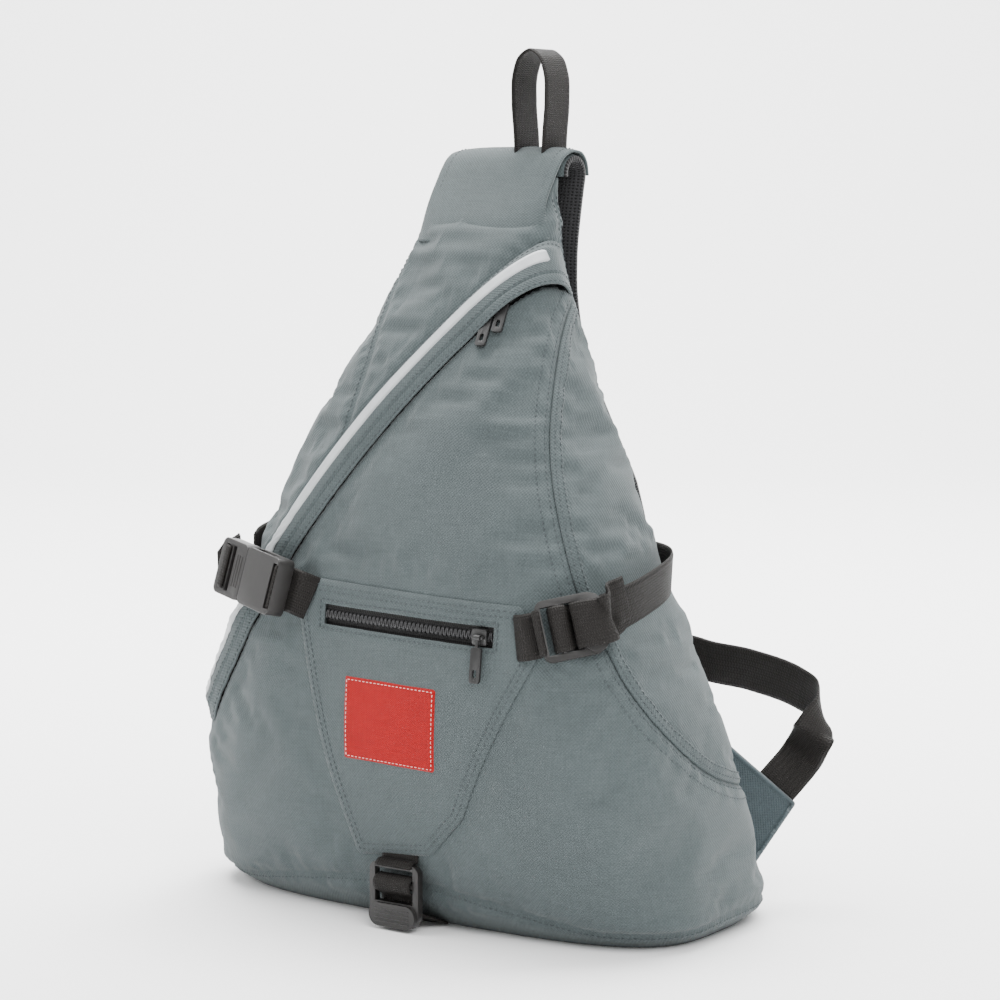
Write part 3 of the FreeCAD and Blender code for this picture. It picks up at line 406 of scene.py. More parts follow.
def stitches(lines, out_of=None, length=STITCH_LENGTH, gap=STITCH_GAP, radius=STITCH_RADIUS):
    """Vertices and faces of thread along lines, each a small spindle that dips at its ends."""
    verts, faces = [], []
    for line in lines:
        run = lengths(line)
        out = normals(line) if out_of is None else np.broadcast_to(out_of, line.shape)
        for s in np.arange(0.4, run[-1] - length, length + gap):
            stops = s + length * np.array([0.0, 0.2, 0.5, 0.8, 1.0])
            centre = np.stack([np.interp(stops, run, line[:, k]) for k in range(3)], -1)
            normal = np.stack([np.interp(stops, run, out[:, k]) for k in range(3)], -1)
            rise = np.array([-0.35, 0.10, 0.22, 0.10, -0.35])
            size = radius * np.array([0.45, 0.9, 1.0, 0.9, 0.45])
            tangent = centre[-1] - centre[0]
            first = len(verts)
            for c, n, r, lift in zip(centre, normal, size, rise):
                b = np.cross(tangent, n)
                b /= max(np.linalg.norm(b), 1e-9)
                for k in range(6):
                    a = k * math.pi / 3
                    verts.append(c + n * (lift + r * math.sin(a)) + b * r * math.cos(a))
            faces += tube_faces(first, len(stops), 6)
    return verts, faces


def thread(name, lines, material, parent, **kwargs):
    """Stitch lines as one piece, sewn to parent."""
    verts, faces = stitches(lines, **kwargs)
    piece = new_object(name, verts, faces, None, [material])
    recalc(piece)
    piece.parent = parent
    return piece


def cut_sheet(outline, spacing, hole=None):
    """Flat grid of (u, v), cut to a convex clockwise outline, with a four-sided hole."""
    corners = np.array(outline)
    low, high = corners.min(0), corners.max(0)
    bm = bmesh.new()
    counts = [max(int((high[k] - low[k]) / spacing), 2) for k in range(2)]
    bmesh.ops.create_grid(bm, x_segments=counts[0], y_segments=counts[1], size=0.5)
    for v in bm.verts:
        v.co.x = low[0] + (v.co.x + 0.5) * (high[0] - low[0])
        v.co.y = low[1] + (v.co.y + 0.5) * (high[1] - low[1])

    def slice_by(polygon, clear):
        for (ax, ay), (bx, by) in zip(polygon, polygon[1:] + polygon[:1]):
            everything = bm.verts[:] + bm.edges[:] + bm.faces[:]
            bmesh.ops.bisect_plane(bm, geom=everything, dist=1e-4, plane_co=(ax, ay, 0),
                                   plane_no=(ay - by, bx - ax, 0), clear_outer=clear)

    slice_by(list(outline), True)
    if hole:
        slice_by(list(hole), False)
        inside = [f for f in bm.faces if edge_distance(f.calc_center_median()[:2], hole) > 0]
        bmesh.ops.delete(bm, geom=inside, context="FACES")
        loose = [v for v in bm.verts if not v.link_faces]
        bmesh.ops.delete(bm, geom=loose, context="VERTS")
    bm.verts.ensure_lookup_table()
    flat = np.array([v.co[:2] for v in bm.verts])
    faces = [tuple(v.index for v in f.verts) for f in bm.faces]
    bm.free()
    return flat, faces


def edge_distance(point, outline):
    """How far inside a convex clockwise outline a point is."""
    x, y = point
    best = 1e9
    for (ax, ay), (bx, by) in zip(outline, outline[1:] + outline[:1]):
        nx, ny = by - ay, ax - bx
        best = min(best, ((x - ax) * nx + (y - ay) * ny) / math.hypot(nx, ny))
    return best


def shrink(outline, margin):
    """Outline moved inwards by margin, corner by corner (corners are clockwise)."""
    result = []
    count = len(outline)
    for i in range(count):
        a, b, c = (np.array(outline[k % count], float) for k in (i - 1, i, i + 1))
        d1, d2 = (b - a) / np.linalg.norm(b - a), (c - b) / np.linalg.norm(c - b)
        n1, n2 = np.array([d1[1], -d1[0]]), np.array([d2[1], -d2[0]])
        mid = (n1 + n2) / np.linalg.norm(n1 + n2)
        result.append(tuple(b + mid * margin / mid.dot(n1)))
    return result


def rounded(outline, radius, steps=5):
    """Outline with its corners cut round."""
    result = []
    count = len(outline)
    for i in range(count):
        a, b, c = (np.array(outline[k % count], float) for k in (i - 1, i, i + 1))
        r = min(radius, np.linalg.norm(a - b) * 0.4, np.linalg.norm(c - b) * 0.4)
        p = b + (a - b) / np.linalg.norm(a - b) * r
        q = b + (c - b) / np.linalg.norm(c - b) * r
        for k in range(steps + 1):
            s = k / steps
            result.append(tuple((1 - s) ** 2 * p + 2 * s * (1 - s) * b + s * s * q))
    return result


def dense(outline, step=1.0):
    """Closed outline as evenly spaced points."""
    corners = np.array(list(outline) + [outline[0]], float)
    run = lengths(corners)
    even = np.linspace(0, run[-1], int(run[-1] / step))
    return np.stack([np.interp(even, run, corners[:, k]) for k in range(2)], -1)


# ---------------------------------------------------------------- materials

class Look:
    """A node material built round one Principled shader."""

    def __init__(self, name, colour, roughness, metallic=0.0, sheen=0.0, specular=0.5):
        self.material = bpy.data.materials.new(name)
        self.material.use_nodes = True
        self.nodes = self.material.node_tree.nodes
        self.links = self.material.node_tree.links
        self.shader = self.nodes["Principled BSDF"]
        self.shader.inputs["Base Color"].default_value = (*colour, 1)
        self.shader.inputs["Roughness"].default_value = roughness
        self.shader.inputs["Metallic"].default_value = metallic
        self.shader.inputs["Sheen Weight"].default_value = sheen
        self.shader.inputs["Sheen Roughness"].default_value = 0.5
        self.shader.inputs["Specular IOR Level"].default_value = specular
        self.colour = colour

    def node(self, kind, inputs=None, **settings):
        made = self.nodes.new(kind)
        for key, value in settings.items():
            setattr(made, key, value)
        for key, value in (inputs or {}).items():
            if isinstance(value, bpy.types.NodeSocket):
                self.links.new(value, made.inputs[key])
            else:
                made.inputs[key].default_value = value
        return made

    def math(self, operation, a, b=None):
        values = {0: a} if b is None else {0: a, 1: b}
        return self.node("ShaderNodeMath", values, operation=operation).outputs[0]

    def coordinates(self, kind):
        """Cloth coordinates in metres for a sheet, or the object's own for a moulding."""
        if kind == "cloth":
            return self.node("ShaderNodeUVMap", uv_map="cloth").outputs["UV"]
        return self.node("ShaderNodeTexCoord").outputs["Object"]

    def noise(self, where, size_mm, detail=3.0, stretch=(1, 1, 1)):
        mapping = self.node("ShaderNodeMapping", {"Vector": where})
        mapping.inputs["Scale"].default_value = [s / (size_mm * MM) for s in stretch]
        texture = self.node("ShaderNodeTexNoise", {"Vector": mapping.outputs[0], "Scale": 1.0,
                                                   "Detail": detail, "Roughness": 0.55})
        return texture.outputs["Fac"]

    def wave(self, value, pitch_mm):
        """Sine of a coordinate in metres, with a pitch in mm."""
        return self.math("SINE", self.math("MULTIPLY", value, 2 * math.pi / (pitch_mm * MM)))

    def tint(self, factor, dark, light):
        """Base colour between two shades of the finish's own colour."""
        ramp = self.node("ShaderNodeMix", {"Factor": factor}, data_type="RGBA")
        ramp.inputs["A"].default_value = (*[c * dark for c in self.colour], 1)
        ramp.inputs["B"].default_value = (*[min(c * light, 1.0) for c in self.colour], 1)
        self.links.new(ramp.outputs["Result"], self.shader.inputs["Base Color"])

    def rough(self, factor, low, high):
        span = self.node("ShaderNodeMapRange", {"Value": factor, "To Min": low, "To Max": high})
        self.links.new(span.outputs[0], self.shader.inputs["Roughness"])

    def bump(self, height, depth_mm, strength=1.0):
        made = self.node("ShaderNodeBump", {"Height": height, "Distance": depth_mm * MM,
                                            "Strength": strength})
        self.links.new(made.outputs[0], self.shader.inputs["Normal"])


def canvas_look(name, colour, pitch=1.0):
    """Plain-weave nylon canvas: yarns, slubs and soft fading, with painted shade in the weave's hollows and
    painted highlight on its crossings.
    """
    look = Look(name, colour, 0.84, sheen=0.10, specular=0.18)
    where = look.coordinates("cloth")
    split = look.node("ShaderNodeSeparateXYZ", {"Vector": where})
    weft, warp = look.wave(split.outputs["X"], pitch * 2), look.wave(split.outputs["Y"], pitch * 2)
    weave = look.math("MULTIPLY", weft, warp)
    along = look.noise(where, 1.4, 2.0, (0.12, 1.0, 1.0))
    upright = look.noise(where, 1.4, 2.0, (1.0, 0.12, 1.0))
    yarn = look.math("ADD", along, upright)
    fade = look.noise(where, 70.0, 4.0)
    # grain mixes painted shade and highlight from the weave's relief with the yarn slubs' own tone
    grain = look.math("MULTIPLY_ADD", weave, 0.16)
    look.links.new(look.math("MULTIPLY", yarn, 0.5), grain.node.inputs[2])
    # shade: the painted weave shade and highlight, the slubs, and the cloth's random fading
    shade = look.math("ADD", look.math("MULTIPLY", grain, 0.62), look.math("MULTIPLY", fade, 0.38))
    spread = look.node("ShaderNodeMapRange", {"Value": shade, "From Min": 0.30, "From Max": 0.70})
    look.tint(spread.outputs[0], 0.80, 1.20)
    look.rough(fade, 0.74, 0.9)
    look.bump(look.math("ADD", weave, yarn), 0.16, 0.8)
    return look.material


def webbing_look(name, colour):
    """Tight nylon webbing with cross ribs and two lengthwise channels, with painted shade in the grooves
    and painted highlight on the ribs.
    """
    look = Look(name, colour, 0.66, sheen=0.0, specular=0.16)
    where = look.coordinates("cloth")
    split = look.node("ShaderNodeSeparateXYZ", {"Vector": where})
    lean = look.math("ABSOLUTE", look.wave(split.outputs["Y"], 6.4))
    slanted = look.math("ADD", split.outputs["X"], look.math("MULTIPLY", lean, 0.0006))
    ribs = look.wave(slanted, 1.25)
    lanes = look.wave(split.outputs["Y"], 1.6)
    fuzz = look.noise(where, 0.8, 3.0)
    height = look.math("ADD", look.math("MULTIPLY", ribs, 0.6), look.math("MULTIPLY", lanes, 0.35))
    # The rib and channel height also sets the colour: painted shade in the grooves, painted highlight on
    # the raised ribs.
    shade = look.math("MULTIPLY_ADD", height, 0.3)
    shade.node.inputs[2].default_value = 0.45
    look.tint(shade, 0.55, 1.9)
    look.rough(fuzz, 0.45, 0.75)
    look.bump(look.math("ADD", height, fuzz), 0.22, 0.9)
    return look.material


def moulded_look(name, colour, roughness, grain=0.5, metallic=0.0):
    """Moulded or cast part: fine spark grain and rubbed patches."""
    look = Look(name, colour, roughness, metallic=metallic)
    where = look.coordinates("object")
    spark = look.noise(where, grain, 2.0)
    rub = look.noise(where, 9.0, 4.0)
    look.tint(rub, 0.7, 1.6)
    look.rough(rub, roughness - 0.08, roughness + 0.14)
    look.bump(spark, 0.05, 0.5)
    return look.material


def mesh_look(name, colour):
    """Spacer mesh: rows of small round holes in a soft knit, with painted shade in the holes."""
    look = Look(name, colour, 0.8, sheen=0.1, specular=0.2)
    where = look.coordinates("cloth")
    mapping = look.node("ShaderNodeMapping", {"Vector": where})
    mapping.inputs["Scale"].default_value = (1 / (2.4 * MM), 1 / (1.9 * MM), 1.0)
    cells = look.node("ShaderNodeTexVoronoi", {"Vector": mapping.outputs[0], "Scale": 1.0,
                                               "Randomness": 0.12})
    hole = look.node("ShaderNodeMapRange", {"Value": cells.outputs["Distance"], "From Min": 0.22,
                                            "From Max": 0.42}).outputs[0]
    # Painted shade: the colour is darkest in the holes and lighter on the knit between them.
    look.tint(hole, 0.25, 1.5)
    look.bump(hole, 0.5, 0.9)
    return look.material


def strip_look(name, colour):
    """Retroreflective tape: glass beads in a fine honeycomb."""
    look = Look(name, colour, 0.42, metallic=0.25)
    where = look.coordinates("cloth")
    mapping = look.node("ShaderNodeMapping", {"Vector": where})
    mapping.inputs["Scale"].default_value = (1 / (1.6 * MM),) * 3
    cells = look.node("ShaderNodeTexVoronoi", {"Vector": mapping.outputs[0], "Scale": 1.0,
                                               "Randomness": 0.1}, feature="DISTANCE_TO_EDGE")
    crease = look.noise(where, 7.0, 4.0, (1.0, 0.5, 1.0))
    # The crease noise also sets the colour: painted shade in the creases and painted highlight on their
    # ridges.
    look.tint(crease, 0.72, 1.12)
    look.rough(crease, 0.3, 0.6)
    look.bump(look.math("ADD", cells.outputs["Distance"], crease), 0.12, 0.6)
    return look.material


GREY = (0.058, 0.072, 0.074)
BLACK = (0.0085, 0.0075, 0.0068)
CANVAS = canvas_look("canvas_grey", GREY)
TAB_CANVAS = canvas_look("canvas_tab", (0.046, 0.061, 0.067))
THREAD = moulded_look("thread_grey", (0.030, 0.038, 0.041), 0.7, 0.3)
BLACK_THREAD = moulded_look("thread_black", (0.02, 0.02, 0.02), 0.7, 0.3)
PATCH_THREAD = moulded_look("thread_patch", (0.62, 0.30, 0.28), 0.6, 0.3)
WEBBING = webbing_look("webbing_black", BLACK)
PLASTIC = moulded_look("acetal_black", (0.008, 0.0072, 0.0068), 0.42)
ZIP_TAPE = webbing_look("zip_tape_black", (0.010, 0.010, 0.010))
COIL = moulded_look("zip_coil_black", (0.016, 0.016, 0.017), 0.42)
METAL = moulded_look("slider_black", (0.03, 0.03, 0.03), 0.34, metallic=0.6)
MESH = mesh_look("mesh_black", (0.016, 0.016, 0.017))
STRIP = strip_look("reflective_silver", (0.40, 0.42, 0.43))
PATCH = canvas_look("patch_red", (0.265, 0.0002, 0.0010), 0.6)


# ---------------------------------------------------------------- main zip line

def circle_through(a, b, c):
    ab, ac = b - a, c - a
    axis = np.cross(ab, ac)
    middle = (np.cross(axis, ab) * ac.dot(ac) + np.cross(ac, axis) * ab.dot(ab)) / (2 * axis.dot(axis))
    return a + middle, np.linalg.norm(middle), axis / np.linalg.norm(axis)


GRID, CLOTH = body_grid(420, 1.9)
SMOOTH = Surface(GRID[:, :-1])


class ZipTrack:
    """A zip on the arc through three points of the front, as (x, z)."""

    def __init__(self, points):
        a, b, c = SMOOTH.front(points)
        self.centre, self.radius, self.axis = circle_through(a, b, c)
        self.start = (a - self.centre) / np.linalg.norm(a - self.centre)
        self.side = np.cross(self.axis, self.start)
        self.up = self.axis if self.axis[2] > 0 else -self.axis
        self.sweep = self.angle_of(c)

    def angle_of(self, p):
        d = p - self.centre
        return math.degrees(math.atan2(d.dot(self.side), d.dot(self.start)))

    def out(self, angle):
        r = np.radians(angle)[..., None]
        return self.start * np.cos(r) + self.side * np.sin(r)

    def line(self, surface, angles, offset):
        """Points on the surface beside the zip, at an offset from its plane."""
        out = self.out(np.asarray(angles, float))
        starts = self.centre + self.up * np.reshape(offset, (-1, 1)) + out * 700.0
        return surface.cast(starts, -out)

    def angle_where(self, offset, inside, outside, within):
        """Angle at which the line leaves a region, by halving."""
        for _ in range(14):
            middle = (inside + outside) / 2
            out = self.out(np.array([middle]))[0]
            start = self.centre + self.up * offset + out * 700.0
            hit = SMOOTH.tree.ray_cast(Vector(start), Vector(-out))[0]
            if hit is not None and within(hit):
                inside = middle
            else:
                outside = middle
        return inside


MAIN_ZIP = ZipTrack([(across(0.232), up(0.821)), (across(-0.095), up(0.670)),
                     (across(-0.446), up(0.486))])
POCKET_ZIP = ZipTrack([(POCKET_ZIP_X + 56.0, POCKET_ZIP_Z - 2.0), (POCKET_ZIP_X, POCKET_ZIP_Z),
                       (POCKET_ZIP_X - 56.0, POCKET_ZIP_Z + 2.0)])


# ---------------------------------------------------------------- seams of the body

def side_point(y, z, side=1):
    half, front, back, power = plan(z)
    ratio = min(abs(y - (front + back) / 2) / ((back - front) / 2), 1.0)
    return np.array([side * half * (1 - ratio ** power) ** (1 / power), y, z])


def facing(xz):
    """The part of a front-view line that lies within the body's outline."""
    half = plan_at(xz[:, 1])[0]
    return xz[np.abs(xz[:, 0]) < 0.985 * half]


def side_seam():
    return SMOOTH.settle(catmull(SIDE_SEAM, 420))


def base_seam():
    """Round the foot of the body: high in the front middle, low at the front corners."""
    x, y, _ = ring(BASE_RISE, 900)
    rear = smoothstep((y + 60.0) / 60.0)
    front_z = 28.0 - 21.0 * (np.abs(x) / 128.0) ** 1.7
    z = np.maximum(front_z, 6.0) * (1 - rear) + 14.0 * rear
    return SMOOTH.settle(np.stack([x, y, z], -1))


def back_seam(side):
    heights = np.linspace(14.0, 415.0, 380)
    return np.array([side_point(plan(z)[2] - 13.0, z, side) for z in heights])


def back_channel(x):
    """A sewn channel of the padded back."""
    heights = np.linspace(34.0, 330.0, 280)
    starts = np.stack([x * np.interp(heights, [34, 330], [1.0, 0.42]), np.full(280, 400.0), heights], -1)
    return SMOOTH.cast(starts, (0, -1, 0))


FLAP_ANGLES = {}


def flap_ends(offset):
    """First and last angle of the flap at an offset from the zip."""
    if offset not in FLAP_ANGLES:
        FLAP_ANGLES[offset] = (MAIN_ZIP.angle_where(offset, 2.0, -14.0, lambda p: p.y < FLAP_END_Y),
                               MAIN_ZIP.angle_where(offset, 30.0, 80.0, lambda p: p.z > ZIP_END_Z))
    return FLAP_ANGLES[offset]


def zip_line(surface, offset, step=2.0):
    """Line beside the main zip, from the right edge down to its lower end."""
    first, last = flap_ends(offset)
    count = int(math.radians(last - first) * MAIN_ZIP.radius / step)
    return MAIN_ZIP.line(surface, np.linspace(first, last, count), offset)


SEAMS = {
    "side": side_seam(),
    "gusset": SMOOTH.front(facing(catmull(GUSSET_SEAM, 260))),
    "base": base_seam(),
    "back_right": back_seam(1),
    "back_left": back_seam(-1),
    "flap": zip_line(SMOOTH, FLAP_ABOVE),
    "channel_right": back_channel(62.0),
    "channel_left": back_channel(-62.0),
}

# Soft folds in the canvas, as (x, z) ends seen from the front, depth and width.
FOLDS = [
    ((-118, 60), (-70, 96), -1.3, 7.0), ((-140, 40), (-96, 44), -1.0, 6.0),
    ((70, 60), (112, 100), -1.2, 8.0), ((96, 40), (140, 64), -1.1, 7.0),
    ((96, 210), (62, 262), -0.8, 8.0), ((28, 300), (58, 262), -0.7, 7.0),
    ((-60, 330), (-30, 372), -0.8, 7.0), ((-96, 236), (-66, 286), -0.8, 7.0),
    ((110, 128), (86, 84), -0.9, 8.0), ((20, 392), (-24, 366), -0.7, 8.0),
    ((-20, 252), (16, 220), -0.5, 9.0), ((-130, 110), (-98, 150), -0.8, 7.0),
]
COMPRESSION_Z = up(0.430)


def seam_relief(points):
    """Valley, puffed sides and puckers along every seam, and the distance to the nearest one."""
    tree = KDTree(sum(len(line) for line in SEAMS.values()))
    stations = []
    for line in SEAMS.values():
        for p, s in zip(line, lengths(line)):
            tree.insert(Vector(p), len(stations))
            stations.append(s)
    tree.balance()
    found = [tree.find(Vector(p)) for p in points.reshape(-1, 3)]
    distance = np.array([f[2] for f in found]).reshape(points.shape[:2])
    along = np.array([stations[f[1]] for f in found]).reshape(points.shape[:2])
    pucker = np.sin(along * 2 * math.pi / 8.5 + 2.0 * np.sin(along / 31.0))
    relief = -1.0 * np.exp(-(distance / 1.7) ** 2) + 0.55 * np.exp(-((distance - 6.0) / 4.0) ** 2)
    relief += 0.24 * pucker * np.exp(-((distance - 4.0) / 3.5) ** 2)
    return relief, distance


def fold_relief(points):
    relief = np.zeros(points.shape[:2])
    in_front = smoothstep((-20.0 - points[..., 1]) / 30.0)
    for (x0, z0), (x1, z1), depth, width in FOLDS:
        d = np.array([x1 - x0, z1 - z0], float)
        rel = points[..., [0, 2]] - np.array([x0, z0])
        t = np.clip(rel @ d / d.dot(d), 0, 1)
        gap = np.linalg.norm(rel - t[..., None] * d, axis=-1)
        end = np.sin(math.pi * np.clip(t, 0.02, 0.98))
        relief += depth * end * np.exp(-(gap / width) ** 2) * in_front
        relief -= depth * 0.5 * end * np.exp(-((gap - 2 * width) / width) ** 2) * in_front
    return relief


def strap_relief(points):
    """The compression straps hold the canvas in, and it swells above and below them."""
    height = points[..., 2] - COMPRESSION_Z - 0.13 * (points[..., 1] + 80.0)
    outside = smoothstep((np.abs(points[..., 0]) - 84.0) / 20.0)
    rear = 1 - smoothstep((points[..., 1] - 10.0) / 30.0)
    swell = 1.3 * np.exp(-((np.abs(height) - 24.0) / 9.0) ** 2) - 0.5 * np.exp(-(height / 12.0) ** 2)
    return swell * outside * rear


def held_flat(points):
    """1 where hardware or a stacked layer needs the canvas to keep its place, 0 where it is free."""
    x, y, z = points[..., 0], points[..., 1], points[..., 2]
    outline = shrink(POCKET_OUTLINE, -8.0)
    front = y < -40.0
    inside = np.full(points.shape[:2], 1e9)
    for (ax, az), (bx, bz) in zip(outline, outline[1:] + outline[:1]):
        nx, nz = bz - az, ax - bx
        inside = np.minimum(inside, ((x - ax) * nx + (z - az) * nz) / math.hypot(nx, nz))
    pocket = smoothstep((inside + 6.0) / 12.0) * front
    plane = np.abs((points - MAIN_ZIP.centre) @ MAIN_ZIP.up - 4.0)
    flap = smoothstep((22.0 - plane) / 8.0) * (y < 12.0) * (z > ZIP_END_Z - 10.0)
    band = np.abs(z - COMPRESSION_Z - 0.15 * (y + 80.0))
    straps = smoothstep((26.0 - band) / 10.0) * smoothstep((np.abs(x) - 60.0) / 20.0) * (y < 60.0)
    ends = np.maximum(smoothstep((16.0 - z) / 8.0), smoothstep((z - 396.0) / 12.0))
    return np.clip(np.maximum.reduce([pocket, flap, straps, ends]), 0, 1)


MAX_SWELL = 3.2


def simulated_swell(columns=140, spacing=6.0):
    """Cloth simulation of the stuffed canvas: how far each point of a coarse grid moves out."""
    coarse, _ = body_grid(columns, spacing)
    coarse = coarse[:, :-1]
    rows = coarse.shape[0]
    hold = held_flat(coarse)
    _, distance = seam_relief(coarse)
    hold = np.maximum(hold, smoothstep((7.0 - distance) / 5.0))
    faces, _ = grid_faces(rows, columns, True)
    bag = new_object("swell", coarse.reshape(-1, 3), faces)
    recalc(bag)
    pins = bag.vertex_groups.new(name="held")
    for i, weight in enumerate(hold.ravel()):
        pins.add([i], float(weight), "REPLACE")
    cloth = bag.modifiers.new("cloth", "CLOTH")
    cloth.settings.vertex_group_mass = "held"
    cloth.settings.quality = 5
    cloth.settings.mass = 0.4
    cloth.settings.tension_stiffness = 30
    cloth.settings.compression_stiffness = 30
    cloth.settings.bending_stiffness = 1.2
    cloth.settings.shrink_min = -0.028
    cloth.settings.use_pressure = True
    cloth.settings.uniform_pressure_force = 3.0
    cloth.settings.effector_weights.gravity = 0.0
    cloth.collision_settings.use_collision = False
    scene = bpy.context.scene
    for step in range(1, 25):
        scene.frame_set(step)
    applied(bag)
    moved = np.array([v.co for v in bag.data.vertices]) / MM
    scene.frame_set(1)
    bpy.data.objects.remove(bag)
    shift = np.sum((moved.reshape(coarse.shape) - coarse) * normals(coarse), -1)
    shift = MAX_SWELL * np.tanh(shift / MAX_SWELL) * (1 - hold)
    return coarse[:, 0, 2], shift


def spread_swell(points):
    """The simulated movement, read at the points of the fine grid."""
    heights, shift = simulated_swell()
    columns = points.shape[1]
    share = np.arange(columns) / columns * shift.shape[1]
    low = share.astype(int)
    part = share - low
    wide = shift[:, low] * (1 - part) + shift[:, (low + 1) % shift.shape[1]] * part
    z = points[:, 0, 2]
    i = np.clip(np.searchsorted(heights, z, side="right") - 1, 0, len(heights) - 2)
    t = smoothstep((z - heights[i]) / (heights[i + 1] - heights[i]))[:, None]
    return wide[i] * (1 - t) + wide[i + 1] * t


def sunk(points, relief):
    """Lower the canvas into the two zip openings."""
    plane = np.abs((points - MAIN_ZIP.centre) @ MAIN_ZIP.up)
    slot = smoothstep((6.6 - plane) / 1.8) * (points[..., 1] < FLAP_END_Y) * (points[..., 2] > ZIP_END_Z)
    relief = relief * (1 - slot) - MAIN_SLOT_DEPTH * slot
    x = points[..., 0] - POCKET_ZIP_X
    z = points[..., 2] - POCKET_ZIP_Z + POCKET_ZIP_SLOPE * x
    slot = smoothstep((9.0 - np.abs(z)) / 3.0) * smoothstep((61.0 - np.abs(x)) / 3.0)
    slot = slot * (points[..., 1] < -40.0)
    return relief * (1 - slot) - POCKET_SLOT_DEPTH * slot


# ---------------------------------------------------------------- the stuffed canvas body

def outward(piece):
    """Turn a thin sheet so that its faces look away from the body."""
    total = 0.0
    for polygon in list(piece.data.polygons)[::7]:
        total += float(normals(np.array(polygon.center) / MM) @ np.array(polygon.normal))
    if total < 0:
        piece.data.flip_normals()
    return piece


def make_body():
    points, cloth = GRID[:, :-1], CLOTH
    out = normals(points)
    seams, _ = seam_relief(points)
    hold = held_flat(points)
    swell = spread_swell(points) + fold_relief(points) * (1 - hold) + strap_relief(points)
    slow = np.array([noise.noise(Vector(p) / 46.0) for p in points.reshape(-1, 3)])
    swell += 1.1 * slow.reshape(points.shape[:2]) * (1 - hold)
    swell -= 2.4 * smoothstep((points[..., 2] - 398.0) / 14.0)
    foot = smoothstep((points[..., 2] - 1.0) / 8.0)
    shape = points + out * (swell * foot)[..., None]
    final = points + out * sunk(points, (swell + seams) * foot)[..., None]
    low, high = final[0], final[-1]
    floor_rows = [low * [k, k, 1] + [0, 0, lift]
                  for k, lift in ((0.04, 1.6), (0.4, 1.6), (0.8, 1.4), (0.95, 0.5))]
    middle = high.mean(0)
    top_rows = [middle + (high - middle) * k + [0, 0, 0.6] for k in (0.93, 0.6, 0.05)]
    rows = np.concatenate([floor_rows, final, top_rows])
    first, last = cloth[0], cloth[-1]
    cloth = np.concatenate([[first - [0, 60 - 14 * k] for k in range(4)], cloth,
                            [last + [0, 5 * k + 5] for k in range(3)]])
    piece = grid_object("body_canvas", rows, cloth, [CANVAS], closed=True, caps=True)
    recalc(piece)
    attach(piece, "bag")
    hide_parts("front_panel", "upper_panel", "left_gusset", "right_side_panel", "back_panel",
                "bottom_panel", "back_foam", "back_lining", "top_seam")
    return piece, Surface(shape), Surface(final)


BODY, SHAPE, SKIN = make_body()


def body_stitching():
    """Topstitching beside each body seam."""
    lines = []
    for name, line in SEAMS.items():
        if name == "flap":
            continue
        sides = {"side": (-2.8, 3.2, 9.0), "gusset": (2.6,), "base": (3.0,)}.get(name, (-2.6, 2.6))
        for distance in sides:
            lines.append(SKIN.settle(beside(line[::2], distance)))
    thread("body_stitching", lines, THREAD, BODY)


body_stitching()


def side_binding():
    """Turned edge of the side panel, laid along its front seam."""
    line = SEAMS["side"][::2]
    offsets = np.linspace(-7.5, 0.4, 9)
    lift = np.array([0.15, 0.75, 1.15, 1.3, 1.35, 1.3, 1.2, 0.9, 0.2])
    rows = [SHAPE.settle(beside(line, d), h) for d, h in zip(offsets, lift)]
    run = lengths(line)
    cloth = [[(s, d) for s in run] for d in offsets]
    piece = outward(grid_object("side_panel_edge", rows, cloth, [CANVAS]))
    solid(piece, 0.7)
    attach(piece, "bag")
    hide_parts("side_pocket_binding")
    stitched = [SHAPE.settle(beside(line, d), 1.25) for d in (-5.6, -2.2)]
    thread("side_panel_stitching", stitched, THREAD, piece)


side_binding()


# ---------------------------------------------------------------- storm flap and reflective strip

def crumple(points, size, scale):
    return scale * np.array([noise.noise(Vector(p) / size) for p in points])


def sheet(name, lines, offsets, material, thickness):
    """Strip of cloth through lines that lie side by side, each at its offset across the strip."""
    cloth = [[(s, offset) for s in lengths(line)] for line, offset in zip(lines, offsets)]
    piece = outward(grid_object(name, lines, cloth, [material]))
    return solid(piece, thickness)


def flap_lift(offset, points):
    """Height of the flap over the body across its width and towards its ends."""
    over_coil = np.interp(offset, [-7.0, -2.2, -1.6, -1.0, 4.0, 11.5, 13.0, 14.6, 16.0],
                          [5.6, FLAP_TOP, 5.55, FLAP_TOP, FLAP_TOP, 5.4, 3.4, 1.9, 0.4])
    closed = np.interp(offset, [-7.0, -4.5, -2.2, -1.6, -1.0, 2.0, 6.0, 11.5, 13.0, 14.6, 16.0],
                       [1.9, 2.5, 3.8, 3.5, 4.4, 5.2, 5.6, 5.2, 3.4, 1.9, 0.4])
    run = lengths(points)
    parked = 1 - smoothstep((run - 44.0) / 34.0)
    rise = closed + (over_coil - closed) * parked
    ends = smoothstep(np.minimum(run, run[-1] - run) / 16.0)
    low = smoothstep((250.0 - points[:, 2]) / 60.0)
    return 0.6 + (rise - 0.6) * (0.12 + 0.88 * ends) + low * crumple(points, 11.0, 0.9) * ends


def on_flap(line, offset):
    """A line on the body, raised to the flap."""
    return line + normals(line) * flap_lift(offset, line)[:, None]


def zip_flap():
    """Storm flap over the main zip, with its three lines of stitches."""
    offsets = [16.0, 15.3, 14.6, 13.8, 13.0, 12.2, 11.5, 10.0, 8.0, 6.0, 4.0, 2.0, 0.4, -1.0, -1.3, -1.6,
               -1.9, -2.2, -3.5, -5.0, -6.0, -6.6, -7.0]
    rows = []
    for offset in offsets:
        first, last = flap_ends(offset)
        rows.append(on_flap(MAIN_ZIP.line(SHAPE, np.linspace(first, last, 300), offset), offset))
    piece = sheet("zip_flap_cover", rows, offsets, CANVAS, FLAP_THICK)
    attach(piece, "bag")
    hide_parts("zip_flap")
    lines = [on_flap(zip_line(SHAPE, offset), offset) for offset in (-5.4, -0.2, 14.2)]
    thread("flap_stitching", lines, THREAD, piece)


